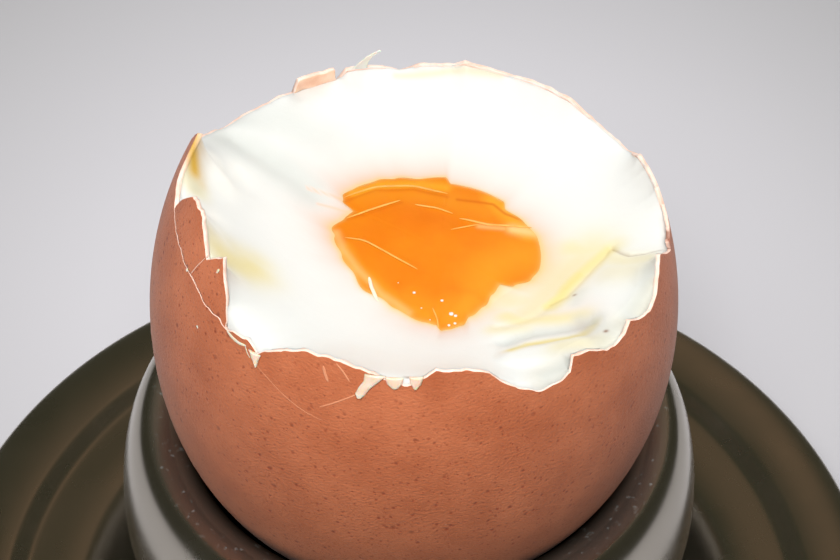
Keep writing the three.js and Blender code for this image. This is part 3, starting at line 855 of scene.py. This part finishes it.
# Marks on the white: corners in plan, half width and strength.
YELLOW = [
    ([(12.9, 1.0), (13.9, 0.3), (15.2, 0.1), (16.1, 0)], 1.3, 0.6),
    ([(15.8, -0.3), (14.6, -1.4), (13.4, -2.6)], 1.1, 0.9),
    ([(13.4, -2.6), (12.4, -3.9), (11.8, -5.2), (10.9, -6.2)], 1.0, 1.0),
    ([(14.5, 0.3), (12.2, -2.3), (10.5, -4.8), (9.4, -6.8)], 2.3, 0.55),
    ([(7.9, -4.7), (9.6, -5.2)], 1.6, 0.5),
    ([(15.6, -1.0), (17.2, -2.6), (18.6, -3.4)], 1.2, 0.5),
    ([(16, -3.4), (17.8, -4.2)], 1.8, 0.35),
    ([(7.4, -6.8), (8.6, -7.9), (10.1, -8.0), (11.6, -8.5), (13.2, -8.6)], 1.0, 0.7),
    ([(6.4, -8.6), (8.9, -9.0)], 0.9, 0.5),
    (
        [(7.6, -13), (8.9, -12), (10.7, -11.9), (12.1, -12), (13.1, -11.7), (13.9, -10.7), (14.2, -9.6)],
        0.5, 1.0,
    ),
    ([(11.6, -13.6), (13.4, -13.4), (14.6, -13.0)], 1.5, 0.5),
    ([(18.8, -6.8), (17.6, -9.6)], 0.8, 0.35),
    ([(15.2, -12.6), (16.2, -11.4)], 1.8, 0.25),
    # Yellow that warms the painted shade below the lower lobe.
    (LOBE_EDGE_SHADE, 1.3, 0.25),
    ([(-14.9, -7.5), (-13.6, -7.0), (-12.9, -6.2)], 1.9, 0.85),
    ([(-13.7, -5.4), (-12.6, -4.8)], 1.6, 0.55),
    ([(-16.6, -5.4), (-16.1, -6.3)], 0.6, 0.3),
    ([(-16.1, -6.8), (-15.7, -8.4)], 0.6, 0.45),
    ([(-18.3, 1.2), (-17.6, 0.3)], 0.9, 0.7),
    ([(-1.7, 19.7), (3, 19.7), (7.3, 18.9)], 0.35, 0.4),
]
# Grey on the white: thin clear white at the lower right and on the left edge, and painted shade in the
# groove, below the lower lobe, beside the block on the right, in the valley on the left and near the far
# left rim.
GREY_CLEAR_AND_SHADE = [
    ([(13.8, -10.6), (15.6, -11.4), (14.8, -13.2)], 1.2, 0.5),
    ([(7.3, -10.6), (8.4, -9.9), (9.6, -9.6), (10.8, -9.7), (12.3, -9.7), (13.8, -9.4)], 0.8, 0.75),
    ([(13.2, -9.1), (14.1, -9.5)], 0.9, 0.8),
    (LOBE_EDGE_SHADE, 1.3, 0.9),
    ([(18.6, -5.2), (18.2, -7.6), (17.0, -9.8)], 1.0, 0.7),
    ([(13.3, -5.1), (12.9, -6.6)], 0.6, 0.4),
    ([(-18.2, 1.2), (-17.6, 0.4)], 0.7, 0.45),
    ([(-15.9, 10.4), (-14.1, 10), (-12.2, 9.2), (-10.3, 8.5), (-8.6, 7.4)], 2.6, 0.7),
    ([(-14.2, 13.8), (-11.5, 14.0), (-8.0, 13.0)], 2.6, 0.5),
]
TINT = [
    ([(12.8, -1.5), (10.8, -4.8), (9.2, -7.4), (12.8, -8.4)], 2.2, 0.22),
    # Peach that warms the painted shade below the lower lobe.
    (LOBE_EDGE_SHADE, 1.3, 0.15),
]
# Lighter white along the left edge: painted light that lifts the shade on the slopes there.
LEFT_EDGE_LIGHT = [
    ([(-16.6, 5.4), (-15.9, 3.0)], 1.3, 0.6),
    ([(-16.2, -2.0), (-15.9, -7.4)], 1.3, 0.5),
    ([(-14.8, 6.5), (-15.6, 4)], 1.5, 0.4),
]
# How the white thins over the yolk: azimuth round the pool, how peach it shows at the pool's
# edge, and how far in millimetres the yolk's own orange glows through.
PEACH_REACH = 1.7
GLOW = 0.85
THINNING = np.array(
    [
        [-180, 0.8, 0.2], [-150, 0.88, 0.25], [-130, 1.0, 0.3], [-110, 1.1, 0.5], [-90, 0.8, 0.3],
        [-70, 0.48, 0.18], [-50, 0.22, 0.16], [-30, 0.5, 0.4], [-10, 0.68, 0.3], [10, 0.6, 0.25],
        [25, 0.45, 0.7], [50, 0.5, 0.9], [75, 0.55, 0.9], [92, 0.7, 0.7], [110, 0.75, 0.3],
        [130, 0.68, 0.22], [150, 0.5, 0.16], [170, 0.68, 0.18],
    ]
)
PINK = [
    ([(-9, 7.8), (-7.6, 7.7), (-6.1, 7.4)], 0.13, 0.5),
    ([(-8.1, 6.3), (-6.6, 6.2), (-5.1, 5.9)], 0.13, 0.5),
]
# Brown specks of shell at three places, and brown lines painted as shadow along the crack's step, along the
# crease and at the groove's right end.
SPECKS_AND_SHADOW_LINES = [
    ([(12.9, -5.3)], 0.16, 0.7), ([(15, -11.6)], 0.2, 0.9), ([(-0.5, -18.9)], 0.2, 0.8),
    (FOLDS[0][0], 0.12, 0.3), (CREASE[:6], 0.14, 0.15),
    ([(13.3, -9.4), (13.6, -11.6)], 0.9, 0.18),
]


def averaged(at, values, span):
    """Values at azimuths, read at each whole degree and averaged over span degrees either
    way with a squared cosine as weight, which leaves out anything narrower than that."""
    apart = np.arange(-span, span + 1)
    weight = np.cos(np.radians(apart * 90 / (span + 1))) ** 2
    each = np.interp(DEGREES[:, None] + apart, at, values, period=360)
    return each @ (weight / weight.sum())


def edge_cover(azimuth):
    """EDGE_COVER plus a bell exp(-(apart / half width)^2) for each bare stretch."""
    bare = [
        reach * np.exp(-((((azimuth - at + 180) % 360 - 180) / half_width) ** 2))
        for at, half_width, reach in BARE_BREAK
    ]
    return EDGE_COVER + sum(bare)


def white_rim(azimuth):
    """Where the white starts, just inside the opening's edge."""
    return on_egg(azimuth, opening_top(azimuth) + RIM_RISE, edge_cover(azimuth))


DEGREES = np.arange(360.0)
RIM_POINTS = white_rim(DEGREES)
RIM_SIGHT, RIM_DISTANCE = around_pool(*RIM_POINTS[:, :2].T)
CALM_RIM = averaged(RIM_SIGHT, RIM_DISTANCE, CALM_SPAN)
CALM_POOL = averaged(DEGREES, pool_radius(DEGREES), CALM_SPAN)


def even_scoop(x, y):
    """Height of a smooth bowl in plan: from the yolk's level at the pool's calm outline
    (share 0) to a tilted ring at the calm rim (share 1), as share (1 - c (1 - share)).
    Returns that, the share, and the azimuth round the pool's centre."""
    sight, distance = around_pool(x, y)
    calm_pool, calm_rim = (np.interp(sight, DEGREES, calm, period=360) for calm in (CALM_POOL, CALM_RIM))
    share = np.clip((distance - calm_pool) / (calm_rim - calm_pool), 0, 1.2)
    level, to_front, to_left = SCOOP_RIM
    angle = np.radians(sight)
    ring = level + to_front * np.cos(angle) - to_left * np.sin(angle)
    return YOLK_LEVEL + (ring - YOLK_LEVEL) * share * (1 - SCOOP_ROUNDING * (1 - share)), share, sight


EVEN_HEIGHT = even_scoop(*RIM_POINTS[:, :2].T)[0]
SLOW_STEP = averaged(RIM_SIGHT, RIM_POINTS[:, 2] - EVEN_HEIGHT, SLOW_SPAN)


def slow_scoop(x, y):
    """The bowl, raised or lowered towards the rim where long stretches of it are high or low."""
    height, share, sight = even_scoop(x, y)
    return height + np.interp(sight, DEGREES, SLOW_STEP, period=360) * share**SLOW_REACH


QUICK_STEP = averaged(DEGREES, RIM_POINTS[:, 2] - slow_scoop(*RIM_POINTS[:, :2].T), QUICK_SPAN)


def folds(x, y):
    """How far the folds sink the scooped top: depth times exp(-(apart / half width)^power)."""
    sunk = 0.0
    for corners, half_width, depth, power in FOLDS:
        sunk = sunk + depth * np.exp(-((line_distance(x, y, corners) / half_width) ** power))
    return sunk


def scoop(azimuth, t):
    """The scooped top from the shell's edge (t = 0) to the pool's edge (t = 1): the bowl,
    plus what the rim's short steps and its teeth still lack, each times (1-t) to a high
    power, less the rolled edge and the folds, which fade out over a seventh at either end.
    It comes down to the yolk as 1 - t^14."""
    outer = white_rim(azimuth)
    points = outer + (pool_edge(azimuth) - outer) * t[..., None]
    quick = np.interp(azimuth, DEGREES, QUICK_STEP, period=360)
    tooth = outer[:, 2] - slow_scoop(*outer[:, :2].T) - quick
    height = slow_scoop(points[..., 0], points[..., 1]) - YOLK_LEVEL
    height = height + quick * (1 - t) ** QUICK_REACH + tooth * (1 - t) ** TOOTH_REACH
    height = YOLK_LEVEL + (height - EDGE_ROLL * (1 - t) ** ROLL_REACH) * (1 - t**POOL_STEEPNESS)
    points[..., 2] = height - np.minimum(1, 8 * t * (1 - t)) * folds(points[..., 0], points[..., 1])
    return points


def set_white():
    """Set egg white: bright, slightly translucent and moist. It glows peach where it thins over the yolk,
    and has yolk smears, an amber drip, greyish clear patches and specks, with painted grey shade and brown
    painted shadow lines in its folds and painted light along its left edge."""
    material, shader = start_material(
        "set_egg_white", Roughness=0.38, Subsurface_Weight=0.25, Subsurface_Scale=0.0012,
        Subsurface_Radius=(1.0, 0.92, 0.84), Coat_Weight=0.08, Coat_Roughness=0.15, Specular_IOR_Level=0.25,
    )
    shades = {
        "painted_light": srgb(240, 240, 234), "peach": srgb(204, 157, 139), "glow": srgb(206, 176, 106),
        "yellow": srgb(206, 193, 134), "grey_clear_and_shade": srgb(182, 185, 181), "amber": AMBER_SHADE,
        "pink": srgb(240, 170, 130), "speck_and_shadow": srgb(120, 72, 44),
    }
    connect(material, marked(material, (0.625, 0.635, 0.62, 1), shades), shader, "Base Color")
    lumps = noise(material, own_place(material), scale=420.0, detail=4.0)
    add_bump(material, shader, lumps, strength=0.2, distance=0.0003)
    return material


white_azimuth = np.concatenate(
    [
        np.linspace(*FINE_SIDE, FINE_COLUMNS, endpoint=False),
        np.linspace(FINE_SIDE[1], FINE_SIDE[0] + 360, PLAIN_COLUMNS, endpoint=False),
    ]
)
WHITE_COLUMNS = FINE_COLUMNS + PLAIN_COLUMNS
wall_inset = SHELL - SHELL_OVERLAP
wall_z = egg_rings(opening_top(white_azimuth), wall_inset, low_count=8, high_count=8)
white_outer = on_egg(white_azimuth, wall_z, wall_inset)
# Rows of the scoop, a little closer together at the shell.
row = np.linspace(0.0, 1.0, SCOOP_ROWS + 1)[:-1, None]
t = (0.35 * row**2 + 0.65 * row) * np.ones(WHITE_COLUMNS)
scooped = scoop(white_azimuth, t)
tucked_in = pool_edge(white_azimuth, YOLK_OVERLAP, YOLK_TUCK)
at_pool = scoop(white_azimuth, np.ones((1, WHITE_COLUMNS)))
cavity = yolk_ball(white_azimuth, np.linspace(0.0, 1.0, 13)[:-1, None], tucked_in)
white_rings = np.concatenate([white_outer, scooped, at_pool, cavity])
white_ends = np.array(
    [[BLUNT_END_X, 0, wall_inset - BLUNT_LENGTH], [*YOLK_CENTRE[:2], YOLK_CENTRE[2] - YOLK_RADIUS]]
)
white_points, white_faces = close_rings(white_ends, white_rings)
white_x, white_y = white_points[:, 0], white_points[:, 1]
sight, distance = around_pool(white_x, white_y)
past_pool = np.clip(distance - pool_radius(sight), 0, None)
peach, glow_reach = (np.interp(sight, THINNING[:, 0], THINNING[:, column], period=360) for column in (1, 2))
marks = {
    "painted_light": smear(white_x, white_y, LEFT_EDGE_LIGHT),
    "peach": np.maximum(peach * np.exp(-past_pool / PEACH_REACH), smear(white_x, white_y, TINT)),
    "glow": GLOW * np.exp(-past_pool / glow_reach),
    "yellow": smear(white_x, white_y, YELLOW),
    "grey_clear_and_shade": smear(white_x, white_y, GREY_CLEAR_AND_SHADE),
    "amber": smear(white_x, white_y, AMBER),
    "pink": smear(white_x, white_y, PINK),
    "speck_and_shadow": smear(white_x, white_y, SPECKS_AND_SHADOW_LINES),
}
white = set_white()
add_piece("set_white", in_frame(white_points), white_faces, [white], "white", ("egg_white",), marks=marks)

# ---------------------------------------------------------------------------
# Skin: the thin skin under the shell, torn with it. Wet shreds of it hang over the edge in
# front, one wisp stands up at the back, and threads of skin lie on the yolk and the shell.
# ---------------------------------------------------------------------------
# Shreds from tip to root: azimuth, height and width in degrees.
SHREDS = [
    [(-36.2, 10.6, 0.3), (-36.9, 11.1, 1.8), (-37.4, 11.6, 3.4)],
    [(-11.7, 10.95, 1.2), (-11.5, 11.2, 2.2), (-10.8, 11.7, 2.5), (-9.4, 12.3, 3.2), (-8.5, 12.85, 4.8)],
    [(-4.1, 12.05, 1.7), (-4.2, 12.3, 3.3), (-4.3, 12.8, 4.2)],
    [(0.4, 12.05, 0.9), (0.5, 12.35, 2.3), (0.6, 12.9, 3.2)],
]
# The wisp from foot to tip: azimuth, rise above its foot and width in degrees.
WISP = [(194, 0.0, 4.2), (193, 0.9, 2.6), (191.5, 1.8, 1.5), (189, 2.5, 0.5)]
WISP_INSIDE = 0.35  # how far inside the shell's surface it stands
SKIN = 0.25
STRIP_COLUMNS, STRIP_ROWS = 13, 25


def wet_skin(name, dull, bright, cloudy):
    """Wet shell skin or yolk skin: thin, shiny, and veined between two colours."""
    material, shader = start_material(
        name, Roughness=0.22, Subsurface_Weight=cloudy, Subsurface_Scale=0.0008, Coat_Weight=0.4,
    )
    veins = noise(material, own_place(material), scale=1200.0, detail=3.0)
    connect(material, colour_between(material, dull, bright, veins), shader, "Base Color")
    return material


skin = wet_skin("wet_shell_skin", srgb(228, 184, 156), srgb(250, 228, 212), 0.5)


def skin_strip(name, node, rows, proud, material):
    """A thin strip on the egg along rows of azimuth, height and width in degrees. It is
    thickest along its middle: thickness times (1 - 0.95 (1.9 u)^2)^0.5 for u across it."""
    rows = np.asarray(rows, float)
    u, v = np.meshgrid(np.linspace(-0.5, 0.5, STRIP_COLUMNS), np.linspace(0.0, 1.0, STRIP_ROWS))
    step = np.linspace(0.0, 1.0, len(rows))
    centre, height, width = (np.interp(v, step, rows[:, column]) for column in range(3))
    at = centre + width * u
    faces, _ = plate_faces(STRIP_COLUMNS, STRIP_ROWS)
    bulge = SKIN * np.sqrt(1 - 0.95 * (1.9 * u) ** 2)
    points = [on_egg(at, height, -proud - bulge), on_egg(at, height, -proud)]
    points = np.concatenate([face.reshape(-1, 3) for face in points])
    return add_piece(name, in_frame(points), faces, [material], "skin", (node,))


for number, rows in enumerate(SHREDS, 1):
    skin_strip(f"skin_shred_{number}_wet", f"skin_shred_{number}", rows, 0.0, skin)
wisp_foot = float(shell_top(np.array([194.0]))[0]) - 0.2
clear_skin = wet_skin("clear_shell_skin", srgb(206, 206, 196), srgb(232, 230, 222), 0.3)
wisp_rows = [(at, wisp_foot + rise, width) for at, rise, width in WISP]
skin_strip("skin_wisp_wet", "skin_wisp", wisp_rows, -WISP_INSIDE, clear_skin)


def thread(path, half_width, half_height, up, rounds=24, around=8):
    """A thread along a path of points: an ellipse swept along it, its size times
    (1 - (2s-1)^4)^0.5 along its length s, so that both ends close. up is the direction
    its half height points to. Returns points and faces."""
    path = np.asarray(path, float)
    length = np.concatenate([[0.0], np.cumsum(np.linalg.norm(np.diff(path, axis=0), axis=1))])
    s = (1 - np.cos(np.linspace(0.0, math.pi, rounds + 2))) / 2
    centre = np.stack([np.interp(s * length[-1], length, path[:, axis]) for axis in range(3)], -1)
    soft = np.copy(centre)
    soft[1:-1] = (centre[:-2] + 2 * centre[1:-1] + centre[2:]) / 4
    along = np.gradient(soft, axis=0)
    side = np.cross(along, up)
    side /= np.linalg.norm(side, axis=1)[:, None]
    raised = np.cross(side, along)
    raised /= np.linalg.norm(raised, axis=1)[:, None]
    size = np.sqrt(1 - (2 * s[1:-1] - 1) ** 4)[:, None, None]
    turn = np.linspace(0.0, 2 * math.pi, around, endpoint=False)[None, :, None]
    rings = soft[1:-1, None] + size * (
        half_width * np.cos(turn) * side[1:-1, None] + half_height * np.sin(turn) * raised[1:-1, None]
    )
    points, faces = close_rings(soft[[0, -1]], rings)
    return points, [face[::-1] for face in faces]


def add_threads(name, threads, material, slot_name):
    """Puts several threads into one piece."""
    points, faces, count = [], [], 0
    for thread_points, thread_faces in threads:
        points.append(thread_points)
        faces += [[corner + count for corner in face] for face in thread_faces]
        count += len(thread_points)
    return add_piece(name, in_frame(np.concatenate(points)), faces, [material], slot_name)


# Threads on the yolk: corners in plan and half width.
YOLK_THREADS = [
    ([(-5.7, 5.1), (-3.6, 6), (-1.2, 7.1)], 0.09),
    ([(0, 6.6), (1.7, 6.2), (3.2, 5.5)], 0.08),
    ([(3.7, 4.9), (6.3, 4.2), (9.8, 4.2)], 0.1),
    ([(3, 3.5), (5.3, 4.2)], 0.06),
    ([(-5.8, 2.7), (-4.1, 2.3), (-2, 0.6), (0.3, -1.2)], 0.08),
    ([(-6, 7.6), (-3.3, 8.9), (-0.15, 9), (2.8, 8)], 0.1),
    ([(1.5, -5.4), (1.9, -6.6), (2, -7.7)], 0.07),
]
WHITE_TONGUE = ([(-3.7, -1.9), (-3.5, -3), (-2.9, -4.5)], 0.16)
# Fibres and scraps of skin on the shell: azimuths and heights, and half width.
SHELL_FIBRES = [
    ([(-17.6, 13.2), (-15.8, 12.7), (-14.1, 12)], 0.08),
    ([(-11.8, 11.2), (-15.8, 10.3), (-20.3, 9.3)], 0.07),
    ([(-20.5, 12.75), (-19.8, 12.2), (-18.9, 11.6)], 0.13),
    ([(-36.2, 10.6), (-33.1, 10.1), (-28.3, 9.2), (-23.3, 8.5), (-19.2, 8.2)], 0.035),
]
SHELL_SCRAPS = [
    ([(-65.5, 12.8), (-64.9, 12.62)], 0.15),
    ([(-54.6, 15.3), (-54.9, 14.9)], 0.12),
    ([(-55.6, 10), (-55, 9.85)], 0.08),
    ([(-40.3, 11.6), (-39.4, 11.2), (-38.4, 10.9)], 0.05),
    ([(-46.3, 11.75), (-44, 11.55), (-42, 11.5), (-40, 11.65)], 0.13),
]


def on_yolk(corners, rise):
    """Corners in plan, put a little above the yolk's surface."""
    x, y = np.asarray(corners, float).T
    return np.stack([x, y, yolk_top(x, y) + rise], -1)


def rounded(corners, count=16):
    """Corners with points between them, so that a thread follows a curved surface."""
    corners = np.asarray(corners, float)
    step = np.linspace(0, len(corners) - 1, count)
    return np.stack([np.interp(step, np.arange(len(corners)), corners[:, axis]) for axis in range(2)], -1)


upward = np.array([0.0, 0.0, 1.0])
yolk_skin = wet_skin("thin_yolk_skin", srgb(230, 142, 54), srgb(236, 170, 94), 0.3)
add_threads(
    "yolk_skin_threads",
    [
        thread(on_yolk(rounded(corners), 0.01), width, 0.6 * width, upward)
        for corners, width in YOLK_THREADS
    ],
    yolk_skin, "yolk",
)
# White domes on the yolk: painted glints of light.
add_threads(
    "yolk_painted_glints",
    [
        thread(on_yolk([(x - radius, y), (x + radius, y)], -0.3 * radius), radius, 0.8 * radius, upward, 8)
        for x, y, radius in GLINT_DOMES
    ],
    white, "yolk",
)
tongue = thread(on_yolk(rounded(WHITE_TONGUE[0]), 0.02), WHITE_TONGUE[1], 0.1, upward)
add_threads("white_tongue", [tongue], skin, "white")


def on_shell(threads, flatness):
    """Threads that lie on the shell along azimuths and heights, as flat as flatness."""
    for corners, width in threads:
        at, height = rounded(corners).T
        path = on_egg(at, height, 0.0)
        yield thread(path, width, flatness * width, path[len(path) // 2])


veil = wet_skin("dried_shell_skin", srgb(204, 128, 92), srgb(222, 156, 120), 0.0)
add_threads("shell_skin_fibres", on_shell(SHELL_FIBRES, 0.3), veil, "skin")
add_threads("shell_skin_scraps", on_shell(SHELL_SCRAPS, 0.5), skin, "skin")

# ---------------------------------------------------------------------------
# Setting: a pale floor with a painted pool of light, soft studio light and the camera.
# ---------------------------------------------------------------------------
FLOOR_HALF = 4.0
LIT_MIDDLE = (0.0, 0.045, 0.0)  # metres; the middle of the painted pool of light
LIT_REACH = 0.16
# The floor's colours outwards from there, darker outwards as a painted pool of light fades, and the room's
# from its left wall to its right.
FLOOR_SHADES = [
    (0.17, (0.462, 0.457, 0.488, 1)), (0.24, (0.422, 0.418, 0.445, 1)), (0.45, (0.307, 0.305, 0.318, 1))
]
ROOM_SHADES = [
    (0.0, (0.05, 0.048, 0.035, 1)), (0.47, (0.055, 0.052, 0.033, 1)), (0.55, (0.185, 0.128, 0.08, 1)),
    (0.61, (0.175, 0.12, 0.075, 1)), (0.68, (0.055, 0.052, 0.033, 1)), (1.0, (0.05, 0.048, 0.035, 1)),
]


def set_stops(ramp, shades):
    """Gives a colour ramp its positions and colours: first its two ends, then the rest."""
    for end, (position, colour) in ((0, shades[0]), (1, shades[-1])):
        ramp.elements[end].position = position
        ramp.elements[end].color = colour
    for position, colour in shades[1:-1]:
        ramp.elements.new(position).color = colour


floor_mesh = bpy.data.meshes.new("floor")
corners = [(x * FLOOR_HALF, y * FLOOR_HALF, 0.0) for x, y in ((-1, -1), (1, -1), (1, 1), (-1, 1))]
floor_mesh.from_pydata(corners, [], [(0, 1, 2, 3)])
floor_piece = bpy.data.objects.new("floor", floor_mesh)
bpy.context.scene.collection.objects.link(floor_piece)
floor_material, floor_shader = start_material("pale_floor", Roughness=0.9)
floor_mesh.materials.append(floor_material)
from_middle = add_node(
    floor_material, "ShaderNodeVectorMath", {0: own_place(floor_material), 1: LIT_MIDDLE},
    operation="DISTANCE",
)
floor_reach = between(floor_material, from_middle.outputs["Value"], 0.0, LIT_REACH)
floor_shade = add_node(floor_material, "ShaderNodeValToRGB", {"Fac": floor_reach})
set_stops(floor_shade.color_ramp, FLOOR_SHADES)
connect(floor_material, floor_shade.outputs["Color"], floor_shader, "Base Color")
floor_piece.visible_diffuse = False

world = bpy.data.worlds.new("studio")
bpy.context.scene.world = world
world.use_nodes = True
direction = add_node(world, "ShaderNodeTexCoord").outputs["Generated"]
across = add_node(world, "ShaderNodeSeparateXYZ", {0: direction}).outputs[0]
walls = add_node(world, "ShaderNodeValToRGB", {"Fac": between(world, across, -1.0, 1.0)})
walls.color_ramp.interpolation = "EASE"
set_stops(walls.color_ramp, ROOM_SHADES)
connect(world, walls.outputs["Color"], world.node_tree.nodes["Background"], "Color")


EGG_TOP = (0.0, 0.0, 0.055)


def soft_light(name, position, size, power, colour=(1.0, 1.0, 1.0), seen_in_gloss=False):
    """A square soft light at a position in metres, turned to the egg's top."""
    lamp = bpy.data.lights.new(name, "AREA")
    lamp.size = size
    lamp.energy = power
    lamp.color = colour
    light = bpy.data.objects.new(name, lamp)
    bpy.context.scene.collection.objects.link(light)
    light.location = position
    light.rotation_euler = (Vector(EGG_TOP) - Vector(position)).to_track_quat("-Z", "Y").to_euler()
    light.visible_glossy = seen_in_gloss


soft_light("key", (-0.053, -0.377, 0.637), 0.35, 6.2, (1.0, 0.985, 0.96))
soft_light("fill", (0.55, -0.2, 0.5), 0.7, 0.5, (0.97, 0.98, 1.0))
soft_light("back", (0.3, 0.62, 0.6), 0.8, 7.4)
soft_light("side", (-0.6, -0.05, 0.3), 0.5, 0.8)
soft_light("glint", (-0.05, -0.3, 0.42), 0.06, 0.5, seen_in_gloss=True)

CAMERA_TILT = math.radians(46.0)
CAMERA_DISTANCE = 225.0
FRAME_WIDTH, FRAME_HEIGHT = 840, 560
SENSOR_WIDTH = 36.0
FOCAL_PIXELS = 2686.5
AXIS_PIXEL = (410.3, 309.0)
ROLL = math.radians(0.46)
camera_data = bpy.data.cameras.new("camera")
camera_data.sensor_width = SENSOR_WIDTH
camera_data.lens = FOCAL_PIXELS * SENSOR_WIDTH / FRAME_WIDTH
camera_data.shift_x = (FRAME_WIDTH / 2 - AXIS_PIXEL[0]) / FRAME_WIDTH
camera_data.shift_y = (AXIS_PIXEL[1] - FRAME_HEIGHT / 2) / FRAME_WIDTH
camera_data.clip_start = 0.01
camera = bpy.data.objects.new("camera", camera_data)
bpy.context.scene.collection.objects.link(camera)
look_at = Vector((0.0, 0.0, EQUATOR_Z * METRES))
towards_camera = Vector((0.0, -math.cos(CAMERA_TILT), math.sin(CAMERA_TILT)))
camera.location = look_at + towards_camera * CAMERA_DISTANCE * METRES
camera.rotation_euler = (math.pi / 2 - CAMERA_TILT, 0.0, 0.0)
camera.rotation_euler.rotate_axis("Z", ROLL)
bpy.context.scene.camera = camera
bpy.context.scene.view_settings.view_transform = "Standard"
